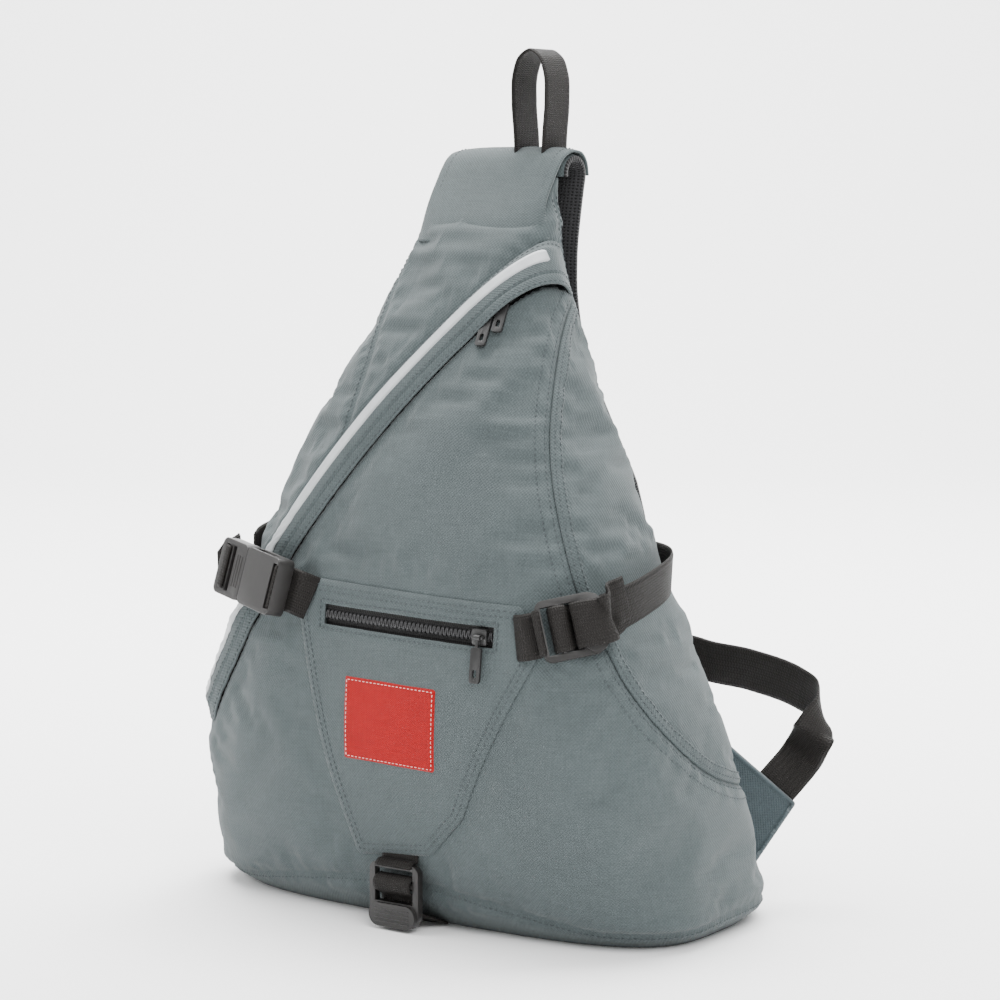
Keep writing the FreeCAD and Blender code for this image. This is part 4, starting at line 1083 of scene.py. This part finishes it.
def reflective_strip():
    """Reflective tape sewn on the flap; it creases more towards its lower end."""
    offsets = np.linspace(STRIP_LOW, STRIP_HIGH, 8)
    rows = []
    for offset in offsets:
        first, last = flap_ends(offset)
        line = MAIN_ZIP.line(SHAPE, np.linspace(first + 0.15, last - 0.15, 420), offset)
        low = smoothstep((262.0 - line[:, 2]) / 60.0)
        edge = 0.12 if offset in (offsets[0], offsets[-1]) else 0.45
        lift = flap_lift(offset, line) + edge
        lift += low * np.abs(crumple(line + offset, 5.0, 0.9))
        line = line + normals(line) * lift[:, None]
        slip = low * crumple(line, 6.5, 0.8)
        rows.append(line + MAIN_ZIP.up * slip[:, None])
    piece = sheet("reflective_tape", rows, offsets, STRIP, 0.3)
    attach(piece, "bag")
    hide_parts("reflective_strip")


zip_flap()
reflective_strip()


# ---------------------------------------------------------------- front pocket

def panel_piece(name, outline, lift, thickness, material, spacing=2.0, hole=None, edge=3.0, puff=0.0):
    """Sewn layer on the front: its edges turn down and its middle may stand a little proud."""
    flat, faces = cut_sheet(outline, spacing, hole)
    depth = np.array([edge_distance(p, outline) for p in flat])
    if hole:
        depth = np.minimum(depth, [max(-edge_distance(p, hole), 0.0) for p in flat])
    rise = lift - 0.9 * (1 - smoothstep(depth / edge)) + puff * smoothstep(depth / 28.0)
    points = SHAPE.front(flat, rise)
    piece = new_object(name, points, faces, [flat[i] for f in faces for i in f], [material])
    outward(piece)
    return solid(piece, thickness)


def lay_on_front(outline, lift):
    return SHAPE.front(dense(outline), lift)


def pocket_hole(half_length, half_width):
    """Zip window in the pocket, clockwise in (x, z)."""
    corners = ((-half_length, half_width), (half_length, half_width), (half_length, -half_width),
               (-half_length, -half_width))
    return [(POCKET_ZIP_X + u, POCKET_ZIP_Z + v - POCKET_ZIP_SLOPE * u) for u, v in corners]


def front_pocket():
    """Pocket panel with its zip window and three lines of stitches."""
    hole = pocket_hole(POCKET_ZIP_HALF, 5.6)
    outline = rounded(POCKET_OUTLINE, 3.0)
    piece = panel_piece("pocket_shield", outline, 1.7, 1.1, CANVAS, hole=hole, puff=0.5)
    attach(piece, "bag")
    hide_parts("pocket_panel", "pocket_bag")
    lines = [lay_on_front(shrink(POCKET_OUTLINE, 3.4), 1.7),
             lay_on_front(shrink(POCKET_OUTLINE, 6.6), 1.85),
             lay_on_front(pocket_hole(POCKET_ZIP_HALF + 2.6, 8.0), 1.75)]
    thread("pocket_stitching", lines, THREAD, piece)


def pocket_zip():
    """Zip tape and the coil's separate teeth."""
    span = math.degrees(POCKET_ZIP_HALF / POCKET_ZIP.radius)
    middle = POCKET_ZIP.sweep / 2
    angles = np.linspace(middle - span, middle + span, 100)
    offsets = np.linspace(-9.0, 9.0, 13)
    dips = -0.95 - 0.3 * smoothstep((np.abs(offsets) - 2.0) / 3.0)
    rows = [arc_line(POCKET_ZIP, angles, offset, dip) for offset, dip in zip(offsets, dips)]
    tape = sheet("pocket_tape", rows, offsets, ZIP_TAPE, 0.6)
    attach(tape, "bag")
    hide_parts("pocket_zip_tape")
    teeth(POCKET_ZIP, middle - span + 0.1, middle + span - 0.1, -1.0, "pocket_coil", "pocket_zip_coil")


def arc_line(track, angles, offset, lift):
    """Points of a zip's own arc, at an offset across it and a height over it."""
    out = track.out(np.asarray(angles, float))
    return track.centre + track.up * offset + out * (track.radius + lift)


COIL_PITCH = 1.35


def teeth(track, first, last, base, name, node):
    """Interlocked coil: slim loops across the zip, one for each tooth."""
    verts, faces = [], []
    count = int(math.radians(last - first) * track.radius / COIL_PITCH)
    section = [(-2.6, 0.2), (-1.9, 1.1), (-0.5, 1.5), (0.5, 1.5), (1.9, 1.1), (2.6, 0.2)]
    for n, angle in enumerate(np.linspace(first, last, count)):
        out = track.out(np.array([angle]))[0]
        along = np.cross(track.up, out)
        lean = 0.35 if n % 2 else -0.35
        start = len(verts)
        for x, h in section:
            centre = track.centre + track.up * x + out * (track.radius + base + h)
            centre += along * lean * x / 2.6
            for k in range(5):
                a = k * 2 * math.pi / 5
                verts.append(centre + along * 0.5 * math.cos(a) + out * 0.45 * math.sin(a))
        faces += tube_faces(start, len(section), 5)
    piece = recalc(new_object(name, verts, faces, None, [COIL]))
    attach(piece, "bag")
    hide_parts(node)


def main_zip_run():
    """The main zip under the flap, following the bottom of its opening."""
    offsets = np.linspace(-5.2, 5.2, 9)
    lines = [zip_line(SMOOTH, 0.0) + MAIN_ZIP.up * offset for offset in offsets]
    rows = [line - normals(line) * 4.6 for line in lines]
    tape = sheet("main_tape", rows, offsets, ZIP_TAPE, 0.5)
    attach(tape, "bag")
    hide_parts("main_zip_tape")
    first = max(flap_ends(0.0)[0], -1.2)
    teeth(MAIN_ZIP, first, MAIN_ZIP.sweep + 1.0, -4.2, "main_coil", "main_zip_coil")


def patch():
    """Plain woven label with a stitched border."""
    (cx, cz), (w, h) = PATCH_CENTRE, PATCH_SIZE
    outline = [(cx + u * w / 2 + v * h / 2 * PATCH_TILT, cz + v * h / 2 - u * w / 2 * PATCH_TILT)
               for u, v in ((-1, 1), (1, 1), (1, -1), (-1, -1))]
    piece = panel_piece("label_patch", rounded(outline, 1.0, 3), 2.9, 0.7, PATCH, spacing=1.5,
                        edge=1.4)
    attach(piece, "bag")
    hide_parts("patch")
    border = [lay_on_front(shrink(outline, 1.9), 2.85)]
    thread("patch_stitching", border, PATCH_THREAD, piece, length=1.9, gap=0.7, radius=0.26)


front_pocket()
pocket_zip()
main_zip_run()
patch()


# ---------------------------------------------------------------- frames of the hardware

BUCKLE_LIFT = 4.0
CLIP_LIFT = 9.2
SOCKET_LENGTH = 34.0
PLUG_SLOT = SOCKET_LENGTH + 20.3
LOCK_THICK = 4.5


def make_frame(origin, along, out):
    u = np.array(along, float) / np.linalg.norm(along)
    n = np.array(out, float)
    n = n - u * n.dot(u)
    n /= np.linalg.norm(n)
    return np.array(origin, float), u, np.cross(n, u), n


def surface_frame(x, z, lift, direction):
    foot = SMOOTH.front([(x, z)])[0]
    out = normals(foot)
    return make_frame(foot + out * lift, np.array(direction) - out * out.dot(direction), out)


def shifted(frame_, distance):
    return frame_[0] + frame_[1] * distance, frame_[1], frame_[2], frame_[3]


RIGHT_LOCK = shifted(surface_frame(across(0.679), up(0.413), BUCKLE_LIFT, (0.71, 0.68, 0.17)), -17.5)
BOTTOM_LOCK = make_frame(SMOOTH.front([(across(0.030), up(0.085))])[0] - [0, BUCKLE_LIFT, 0],
                         (0, 0, -1), (0, -1, 0))
CLIP = shifted(surface_frame(across(-0.507), up(0.440), CLIP_LIFT, (-0.976, 0.19, 0.15)), -30.6)
STRAP_RUN = [(FOLD_Y + 9.45, FOLD_Z), (37.5, 406.0), (33.5, 382.0), (33.5, 356.0), (40.0, 330.0),
             (54.0, 303.0), (75.0, 270.0), (96.0, 236.0), (109.0, 206.0), (114.0, 182.0)]
STRAP_LOCK = make_frame((22.0, 116.0, 173.0), (0.55, 0.10, -0.83), (0, 1, 0))


def stations_in(frame_, path):
    """Ribbon stations from (along, out, tilt) in a frame; tilt turns the face towards along."""
    origin, along, cross, out = frame_
    result = []
    for x, z, tilt in path:
        r = math.radians(tilt)
        result.append((origin + along * x + out * z, cross, out * math.cos(r) + along * math.sin(r)))
    return result


# Webbing through a ladder lock: over its middle bar, down its second slot, and away underneath.
OVER_BAR = [(5.6, 1.4, -80.0), (6.4, 4.6, -70.0), (8.4, 6.6, -25.0), (11.2, 6.9, 10.0), (13.8, 5.6, 50.0)]
UNDER_LOCK = [(15.2, 3.0, 60.0), (18.6, -1.2, 30.0), (24.0, -1.9, 0.0)]


def side_station(y, z, side, lift):
    p = side_point(y, z, side)
    out = normals(p)
    return p + out * lift, np.array([0, 0.1, 1.0]), out


def angle_station(angle, z, lift):
    """Station on the side of the body at a plan angle (0 is the right, -90 the front)."""
    half, front, back, power = plan(z)
    c, s = math.cos(math.radians(angle)), math.sin(math.radians(angle))
    x = half * math.copysign(abs(c) ** (2 / power), c)
    y = (front + back) / 2 + (back - front) / 2 * math.copysign(abs(s) ** (2 / power), s)
    p = np.array([x, y, z])
    out = normals(p)
    return p + out * lift, np.array([0, 0.1, 1.0]), out


# ---------------------------------------------------------------- hardware

def softened(node, name, material, width=0.45):
    """A moulding with the CAD part's shape and rounded edges."""
    cad = frame["nodes"][node]
    body = cad["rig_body"]
    piece = bpy.data.objects.new(name, cad.data.copy())
    bpy.context.scene.collection.objects.link(piece)
    piece.data.materials.clear()
    piece.data.materials.append(material)
    bm = bmesh.new()
    bm.from_mesh(piece.data)
    bmesh.ops.remove_doubles(bm, verts=bm.verts, dist=0.00002)
    bmesh.ops.dissolve_limit(bm, angle_limit=math.radians(1.5), verts=bm.verts, edges=bm.edges)
    bm.to_mesh(piece.data)
    bm.free()
    edge = piece.modifiers.new("edge", "BEVEL")
    edge.width = width * MM
    edge.segments = 3
    edge.limit_method = "ANGLE"
    edge.angle_limit = math.radians(38)
    edge.use_clamp_overlap = True
    applied(piece)
    piece.data.polygons.foreach_set("use_smooth", [True] * len(piece.data.polygons))
    piece.data.set_sharp_from_angle(angle=math.radians(50))
    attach(piece, body)
    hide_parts(node)
    return piece


def capsules(name, bars, material, parent):
    """Small round-ended bars from a to b with a radius, as one piece."""
    verts, faces = [], []
    for a, b, radius in bars:
        a, b = np.array(a, float), np.array(b, float)
        axis = (b - a) / np.linalg.norm(b - a)
        u = np.cross(axis, (0.3, 0.5, 0.81))
        u /= np.linalg.norm(u)
        v = np.cross(axis, u)
        start = len(verts)
        profile = [(-1, 0.35), (-0.7, 0.8), (0, 1.0)]
        stops = [(a + axis * radius * x, radius * r) for x, r in profile]
        stops += [(b - axis * radius * x, radius * r) for x, r in profile[::-1]]
        for centre, r in stops:
            for k in range(10):
                t = k * math.pi / 5
                verts.append(centre + (u * math.cos(t) + v * math.sin(t)) * r)
        faces += tube_faces(start, len(stops), 10)
    piece = recalc(new_object(name, verts, faces, None, [material]))
    piece.parent = parent


def in_frame(frame_, x, y, z):
    origin, along, cross, out = frame_
    return origin + along * x + cross * y + out * z


def ladder_lock(node, name, frame_):
    piece = softened(node, name, PLASTIC, 0.9)
    top = LOCK_THICK + 2.4
    ribs = [(in_frame(frame_, x, -11.5, top), in_frame(frame_, x, 11.5, top), 0.55)
            for x in (24.5, 27.0, 29.5, 32.0)]
    capsules(name + "_grip", ribs, PLASTIC, piece)


def clip_pieces():
    softened("clip_socket", "clip_socket_moulding", PLASTIC, 1.3)
    plug = softened("clip_plug", "clip_plug_moulding", PLASTIC, 1.3)
    softened("clip_prong_upper", "clip_prong_a", PLASTIC, 0.5)
    softened("clip_prong_lower", "clip_prong_b", PLASTIC, 0.5)
    ribs = [(in_frame(CLIP, x, -9.0, 10.4), in_frame(CLIP, x, 9.0, 10.4), 0.5)
            for x in (SOCKET_LENGTH + 4.5, SOCKET_LENGTH + 7.0, SOCKET_LENGTH + 9.5)]
    capsules("clip_plug_grip", ribs, PLASTIC, plug)


ladder_lock("right_buckle", "right_ladder_lock", RIGHT_LOCK)
ladder_lock("bottom_buckle", "bottom_ladder_lock", BOTTOM_LOCK)
ladder_lock("strap_buckle", "strap_ladder_lock", STRAP_LOCK)
clip_pieces()
for part_name in ("main_slider_upper", "main_slider_lower", "pocket_slider"):
    softened(part_name, part_name + "_cast", METAL, 0.3)
for part_name in ("main_pull_upper", "main_pull_lower", "pocket_pull"):
    softened(part_name, part_name + "_tab", METAL, 0.45)


# ---------------------------------------------------------------- webbing

WEB_MIDDLE = WEB_LIFT + WEBBING_THICK / 2     # height of laid webbing's middle over the body
REAR_END_Y = plan(up(0.47))[2] - 2.0


def web_piece(name, stations, *nodes, body="bag", thickness=WEBBING_THICK):
    """Webbing that rides a body, or that is left unattached when body is None."""
    piece = ribbon(name, stations, WEBBING, thickness)
    if body:
        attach(piece, body)
    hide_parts(*nodes)
    return piece


def strap_plane_z(frame_, rise, x, y):
    """Height of a compression strap's middle at x, y."""
    normal = np.cross((0, 1, rise), frame_[1])
    origin = frame_[0]
    return origin[2] - (normal[0] * (x - origin[0]) + normal[1] * (y - origin[1])) / normal[2]


def side_run(frame_, rise, y_first, y_last, side, lift, count=14):
    stations = []
    z = frame_[0][2]
    for y in np.linspace(y_first, y_last, count):
        for _ in range(6):
            z = strap_plane_z(frame_, rise, side_point(y, z, side)[0], y)
        stations.append(side_station(y, z, side, lift))
    return stations


def right_webbing():
    rear = stations_in(RIGHT_LOCK, OVER_BAR + UNDER_LOCK)
    rear += side_run(RIGHT_LOCK, 0.20, -56.0, REAR_END_Y, 1, WEB_MIDDLE)
    web_piece("right_compression_webbing", rear, "right_webbing")
    over = WEB_LIFT + WEBBING_THICK * 1.5 + 1.6
    z = up(0.413) + 7.0
    tail = stations_in(RIGHT_LOCK, [(17.6, 6.2, -50), (21.0, 8.6, -10), (36.4, 8.4, 0)])
    tail += [angle_station(a, z + h, over) for a, h in ((-21, 3.0), (-17, 4.5), (-13, 6.0))]
    web_piece("right_webbing_end", tail, "right_webbing_tail")
    start = SMOOTH.front([in_frame(RIGHT_LOCK, -21.0, 0, 0)[[0, 2]]], WEB_MIDDLE)[0]
    out = normals(start)
    over_bar = [(-9.0, -2.2, 0), (-2.2, -1.9, 0), (-2.6, 2.0, -90), (0.0, 5.6, 0)]
    stub = [(start, RIGHT_LOCK[2], out)] + stations_in(RIGHT_LOCK, over_bar)
    web_piece("right_anchor_webbing", stub, "right_web_stub")


def left_webbing():
    start = SMOOTH.front([(across(-0.29), up(0.424))], WEB_MIDDLE)[0]
    into_slot = [(-3.0, -3.0, 0), (2.6, -1.9, -20), (3.7, 0.4, -80), (3.7, 8.0, -90), (0.6, 11.9, 0)]
    stub = [(start, CLIP[2], normals(start))] + stations_in(CLIP, into_slot)
    web_piece("left_anchor_webbing", stub, "left_web_stub")
    slot = PLUG_SLOT + 1.8
    path = [(slot - 5.0, 11.6, 0), (slot - 0.6, 11.4, 30), (slot, 6.0, 90), (slot, 0.2, 80),
            (slot + 1.6, -1.8, 20), (slot + 8.0, -3.2, 0)]
    leave = CLIP[0] + CLIP[1] * (slot + 8.0)
    edge = np.array([-plan(leave[2] + 3)[0] - WEB_LIFT - 0.8, leave[1] + 20.0, leave[2] + 4.0])
    plane = (edge, np.array([-1.0, 0, 0]), None, None)
    hang = stations_in(CLIP, path) + [(edge, np.array([0, -0.14, 1.0]), normals(edge))]
    front = web_piece("left_webbing_run", hang, "left_webbing_front", body=None)
    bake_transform(front)
    rear = side_run(plane, 0.145, edge[1] + 0.5, REAR_END_Y, -1, WEB_MIDDLE)
    web_piece("left_compression_webbing", rear, "left_webbing")


def bottom_webbing():
    x = across(0.030)
    front = plan(0.0)[1]
    wide = np.array([1.0, 0, 0])
    run = stations_in(BOTTOM_LOCK, OVER_BAR + UNDER_LOCK)
    run += [(np.array([x + 5, front - 12.0, 4.6]), wide, np.array([0, -0.5, -1.0])),
            (np.array([x + 8, front - 3.0, WEBBING_THICK / 2]), wide, np.array([0, 0, -1.0]))]
    web_piece("bottom_webbing_run", run, "bottom_webbing")
    top = stations_in(BOTTOM_LOCK, [(-13.0, -2.2, 0), (-6.0, -2.0, 0), (-2.4, -1.2, -30), (-2.7, 2.0, -90),
                                    (0.0, 5.6, 0)])
    web_piece("bottom_anchor_webbing", top, "bottom_web_stub")


right_webbing()
left_webbing()
bottom_webbing()


# ---------------------------------------------------------------- corner tab and shoulder webbing

TAB_ROOT_TOP = np.array([across(0.700), plan(up(0.188))[2] + 2.0, up(0.232)])
TAB_ROOT_LOW = np.array([across(0.835), plan(up(0.060))[2] - 16.0, up(0.040)])
TAB_FREE = np.array([across(0.958), plan(up(0.137))[2] + 16.0, up(0.137)])
TAB_THICK = 3.2


def tab_frame():
    edge = TAB_FREE - TAB_ROOT_TOP
    out = np.cross(edge, TAB_ROOT_LOW - TAB_ROOT_TOP)
    if out[1] < 0:
        out = -out
    return make_frame((TAB_ROOT_TOP + TAB_FREE) * 0.5, edge, out)


TAB = tab_frame()


def corner_tab():
    """Folded triangle of canvas sewn into the rear right base corner."""
    origin, along, cross, out = TAB
    inwards = np.array([-9.0, -6.0, 0])
    corners = [TAB_ROOT_TOP + inwards, TAB_ROOT_TOP, TAB_FREE, TAB_ROOT_LOW, TAB_ROOT_LOW + inwards]
    flat = [((p - origin).dot(along), (p - origin).dot(cross)) for p in corners]
    area = sum(a[0] * b[1] - b[0] * a[1] for a, b in zip(flat, flat[1:] + flat[:1]))
    if area > 0:
        flat = flat[::-1]
    outline = rounded(flat, 2.0, 3)
    flat_points, faces = cut_sheet(outline, 1.8)
    depth = np.array([edge_distance(p, outline) for p in flat_points])
    rise = TAB_THICK * (0.45 + 0.55 * np.sqrt(np.clip(depth / 2.2, 0, 1)))
    points = origin + np.outer(flat_points[:, 0], along) + np.outer(flat_points[:, 1], cross)
    points += np.outer(rise, out)
    cloth = [flat_points[i] for face in faces for i in face]
    piece = outward(new_object("rear_corner_tab", points, faces, cloth, [TAB_CANVAS]))
    solid(piece, TAB_THICK * 0.9)
    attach(piece, "bag")
    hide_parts("corner_tab")
    ring_ = dense(shrink(flat, 3.0))
    line = origin + np.outer(ring_[:, 0], along) + np.outer(ring_[:, 1], cross) + out * TAB_THICK
    thread("tab_stitching", [line], THREAD, piece, out_of=out)


def shoulder_webbing():
    origin, along, cross, out = TAB
    sewn = origin + along * 17.0 + out * (TAB_THICK + WEBBING_THICK / 2 + 0.3)
    inward = cross if cross[2] < 0 else -cross
    head = stations_in(STRAP_LOCK, OVER_BAR + UNDER_LOCK + [(37.0, -2.4, 0.0)])
    head = [(p, w if w[2] > 0 else -w, n) for p, w, n in head]
    path = [((72, 124, up(0.302)), (0.02, 0, 1), (0.05, 1, 0)),
            ((112, 118, up(0.296)), (0.02, 0, 1), (0.15, 1, 0)),
            ((149, 110, up(0.282)), (-0.02, 0, 1), (0.35, 1, 0)),
            ((164, 104, up(0.270)), (-0.12, -0.05, 1), (0.60, 0.80, 0.1)),
            ((171, 96, up(0.256)), (-0.21, -0.15, 0.96), (0.80, 0.52, 0.25)),
            ((171, 89, up(0.238)), (-0.38, -0.25, 0.88), (0.92, -0.12, 0.36)),
            (sewn - inward * 20.0 + out * 2.0, (-0.62, -0.36, 0.68), (0.62, -0.68, 0.2)),
            (sewn - inward * 6.0, -along, -out), (sewn + inward * 12.0, -along, -out)]
    stations = head + [tuple(np.array(v, float) for v in station) for station in path]
    piece = web_piece("shoulder_webbing_run", stations, "shoulder_webbing", body=None)
    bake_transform(piece)
    box = [sewn + inward * 10.0 + along * a for a in (-9.0, 9.0)]
    foot = [sewn - inward * 1.0 + along * a for a in (9.0, -9.0)]
    loop = np.array([box[0], box[1], foot[0], foot[1], box[0], foot[0], box[1], foot[1]])
    lines = [straight_line(a, b) + out * (WEBBING_THICK / 2) for a, b in zip(loop[:-1], loop[1:])]
    sewn_box = thread("tab_box_stitch", lines, BLACK_THREAD, None, out_of=out)
    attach(sewn_box, "bag")


def straight_line(a, b, step=0.8):
    count = max(int(np.linalg.norm(b - a) / step), 4)
    return a + np.outer(np.linspace(0, 1, count), b - a)


corner_tab()
shoulder_webbing()


# ---------------------------------------------------------------- padded strap, top cover, handle

def strap_line(count=150):
    """Middle line of the strap in (y, z): over the fold and down the back."""
    middle = FOLD_INNER + STRAP_THICK / 2
    turn = np.linspace(math.pi, 0.0, 26)
    fold = np.stack([FOLD_Y + middle * np.cos(turn), FOLD_Z + 0.2 + middle * np.sin(turn)], -1)
    hang = catmull(STRAP_RUN, count)
    return np.concatenate([[[FOLD_Y - middle, FOLD_Z - 1.0]], fold, hang[1:]])


def strap_edges(z):
    """Left and right edge of the strap at a height."""
    levels = [175.0, 182.0, 240.0, 310.0, 350.0, 470.0]
    left = np.interp(z, levels, [-5.0, -7.0, -19.0, -40.0, -STRAP_HALF, -STRAP_HALF])
    right = np.interp(z, levels, [41.0, 42.0, 44.5, 40.5, STRAP_HALF, STRAP_HALF])
    return left, right


def line_normals(line):
    tangent = np.gradient(line, axis=0)
    tangent /= np.linalg.norm(tangent, axis=1, keepdims=True)
    return np.stack([-tangent[:, 1], tangent[:, 0]], -1)


def shoulder_pad():
    """Padded strap: canvas outside, spacer mesh inside, bound along both edges."""
    line = strap_line()
    out = line_normals(line)
    side = np.sin(np.linspace(-math.pi / 2, math.pi / 2, 33))
    full = STRAP_THICK / 2
    thick = full * np.clip((1 - np.abs(side) ** 5), 0.0, 1) ** 0.5
    thick = np.maximum(thick, 1.5)
    loop = [(v, t) for v, t in zip(side, thick)] + [(v, -t) for v, t in zip(side[::-1], thick[::-1])]
    run = lengths(line)
    sign = 1.0 if out[3, 1] > 0 else -1.0
    points, cloth = [], []
    for (y, z), n, s in zip(line, out, run):
        left, right = strap_edges(z)
        taper = 0.55 + 0.45 * smoothstep((run[-1] - s) / 12.0)
        bulge = 1.0 - 0.10 * math.sin(s / 9.0) ** 2 * smoothstep((s - 60.0) / 20.0)
        row = []
        for v, t in loop:
            x = (left + right) / 2 + v * (right - left) / 2
            h = t * taper * bulge * sign
            row.append((x, y + n[0] * h, z + n[1] * h))
        points.append(row)
        cloth.append([(v * STRAP_HALF, s) for v, _ in loop + loop[:1]])
    canvas_or_mesh = [0 if 2 <= j < len(side) - 3 else 1 for j in range(len(loop))]
    piece = grid_object("shoulder_pad", points, cloth, [CANVAS, MESH], closed=True, caps=True,
                        indices=canvas_or_mesh * (len(line) - 1))
    recalc(piece)
    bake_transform(piece)
    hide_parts("strap_shell", "strap_foam", "strap_mesh", "fold_shell", "fold_foam", "fold_mesh")
    lines = []
    for edge, inset in ((0, 4.2), (1, -4.2)):
        rail = line[30:] + out[30:] * full * 0.86 * sign
        x = [strap_edges(z)[edge] + inset for z in line[30:, 1]]
        lines.append(np.column_stack([x, rail]))
    stitched = thread("strap_stitching", lines, THREAD, None, out_of=np.array([0, 0.9, 0.3]))
    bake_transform(stitched)


# Side view of the upper canvas, as (y, z): up the front, over the fold and down behind it.
COVER_RUN = [(-4.4, 405.0), (1.6, 413.0), (7.2, 421.0), (12.4, 428.4), (17.6, 434.2),
             (24.0, 438.0), (32.0, 439.4), (40.0, 437.6), (45.0, 432.0), (46.8, 424.0)]
COVER_LOW = 386.0           # where the upper canvas leaves the body
COVER_FREE = 417.0          # from here up it no longer follows the body
COVER_LIFT = 1.1


def top_cover():
    """Upper canvas: it leaves the body's front, runs over the fold and is sewn down behind."""
    low = [(plan(z)[1], z) for z in (COVER_LOW, 392.0, 398.0)]
    line = catmull(low + COVER_RUN, 64)
    out = line_normals(line)
    out *= np.sign(out[20] @ np.array([-0.7, 0.7]))
    side = np.linspace(-1, 1, 61)
    half = STRAP_HALF + 0.3
    run = lengths(line)
    rows, cloth = [], []
    for i, ((y, z), n) in enumerate(zip(line, out)):
        share, lift = 1.0, COVER_LIFT
        if i < 40:
            share = smoothstep((z - COVER_LOW) / (COVER_FREE - COVER_LOW))
            lift *= smoothstep((z - COVER_LOW) / 14.0)
            lift -= 0.5 * (1 - smoothstep((z - COVER_LOW) / 4.0))
        rise = lift - 2.2 * np.abs(side) ** 4
        flat = np.stack([side * half, y + n[0] * rise, z + n[1] * rise], -1)
        if share < 1.0:
            width = plan(z)[0] * 0.985
            wrap = np.clip(side * max(half, width), -width, width)
            on_body = SMOOTH.front(np.stack([wrap, np.full_like(wrap, z)], -1), lift)
            flat = on_body * (1 - share) + flat * share
        rows.append(flat)
        cloth.append([(v * STRAP_HALF, run[i]) for v in side])
    piece = grid_object("top_cover", rows, cloth, [CANVAS])
    total = sum(np.array(p.normal) @ [0, -0.3, 0.9] for p in list(piece.data.polygons)[::5])
    if total < 0:
        piece.data.flip_normals()
    solid(piece, 1.2)
    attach(piece, "bag")
    rear = [row[2:-2] for row in np.array(rows)[-3:-2]]
    sides = [np.array([row[k] for row in rows[24:]]) for k in (4, -5)]
    thread("top_cover_stitching", rear + sides, THREAD, piece, out_of=np.array([0, 0.2, 1.0]))


def grab_handle():
    """Webbing loop standing on the fold; its width runs front to back."""
    top = FOLD_Z + 14.0 + 59.0
    reach = 11.5
    foot = 9.3
    path = [(-foot, 431.0), (-foot - 0.6, 446.0), (-reach, top - 30.0), (-reach + 0.9, top - 14.0),
            (-6.4, top - 4.6), (0.0, top - 1.2), (6.4, top - 4.6), (reach - 0.9, top - 14.0),
            (reach, top - 30.0), (foot + 0.6, 446.0), (foot, 431.0)]
    stations = []
    for x, z in path:
        stations.append((np.array([HANDLE_X + x, FOLD_Y, z]), np.array([0, 1.0, 0]),
                         np.array([x * 0.1, 0, 1.0 if abs(x) < 7 else 0.0])))
    piece = web_piece("grab_handle_loop", stations, "grab_handle", body=None, thickness=1.8)
    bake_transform(piece)


def strap_end():
    end_y, end_z = STRAP_RUN[-1]
    x = 18.0
    stations = [(np.array([x, end_y + 5.6, end_z + 14.0]), np.array([1, 0, 0.2]), np.array([0, 1.0, 0])),
                (np.array([x + 1, end_y + 5.8, end_z - 1.0]), np.array([1, 0, 0.3]), np.array([0, 1.0, 0]))]
    stations += stations_in(STRAP_LOCK, [(-0.5, 5.6, 0.0)])
    web_piece("strap_end_loop", stations, "strap_end_webbing", body="strap")


shoulder_pad()
top_cover()
grab_handle()
strap_end()


# ---------------------------------------------------------------- floor, light and camera

def shade(name, colour, roughness):
    material = bpy.data.materials.new(name)
    material.use_nodes = True
    shader = material.node_tree.nodes["Principled BSDF"]
    shader.inputs["Base Color"].default_value = (*colour, 1)
    shader.inputs["Roughness"].default_value = roughness
    return material


def studio():
    """White sweep: a floor that curves up behind the bag, seen from the camera's side."""
    away = Vector((-0.5735, 0.8192, 0))
    wide = Vector((0.8192, 0.5735, 0))
    radius, depth = 1.6, 2.4
    profile = [(-6.0, 0.0), (depth, 0.0)]
    turn = [k * math.pi / 40 for k in range(1, 21)]
    profile += [(depth + radius * math.sin(a), radius - radius * math.cos(a)) for a in turn]
    profile.append((depth + radius, 6.0))
    verts = [(away * d + wide * w + Vector((0, 0, h))) / MM for d, h in profile for w in (-8.0, 8.0)]
    faces = [(2 * i, 2 * i + 1, 2 * i + 3, 2 * i + 2) for i in range(len(profile) - 1)]
    floor = new_object("floor", verts, faces, None, [shade("floor_white", (0.9, 0.9, 0.9), 0.8)])
    world = bpy.data.worlds.new("studio")
    bpy.context.scene.world = world
    world.use_nodes = True
    world.node_tree.nodes["Background"].inputs["Color"].default_value = (1.0, 1.0, 1.0, 1)
    world.node_tree.nodes["Background"].inputs["Strength"].default_value = 1.0
    lights = [("key", (1.5, -0.9, 2.1), 1.5, 62.0), ("fill", (-1.7, -1.3, 1.5), 1.6, 30.0),
              ("rim", (0.2, 1.4, 1.7), 1.2, 20.0), ("sweep", (-0.6, 0.9, 2.8), 2.6, 420.0)]
    for name, place, size, power in lights:
        light = bpy.data.lights.new(name, "AREA")
        light.size = size
        light.energy = power
        lamp = bpy.data.objects.new(name, light)
        lamp.location = place
        aim = Vector((-1.6, 2.2, 0.4)) if name == "sweep" else Vector((0, 0, 0.2))
        lamp.rotation_euler = (aim - Vector(place)).to_track_quat("-Z", "Y").to_euler()
        bpy.context.scene.collection.objects.link(lamp)


def camera():
    lens = bpy.data.cameras.new("camera")
    lens.lens = 101.5
    lens.sensor_width = 36.0
    eye = bpy.data.objects.new("camera", lens)
    eye.location = (0.94565, -1.3361, 0.416)
    eye.rotation_euler = Vector((-0.5701, 0.8142, -0.1097)).to_track_quat("-Z", "Y").to_euler()
    bpy.context.scene.collection.objects.link(eye)
    bpy.context.scene.camera = eye


studio()
camera()
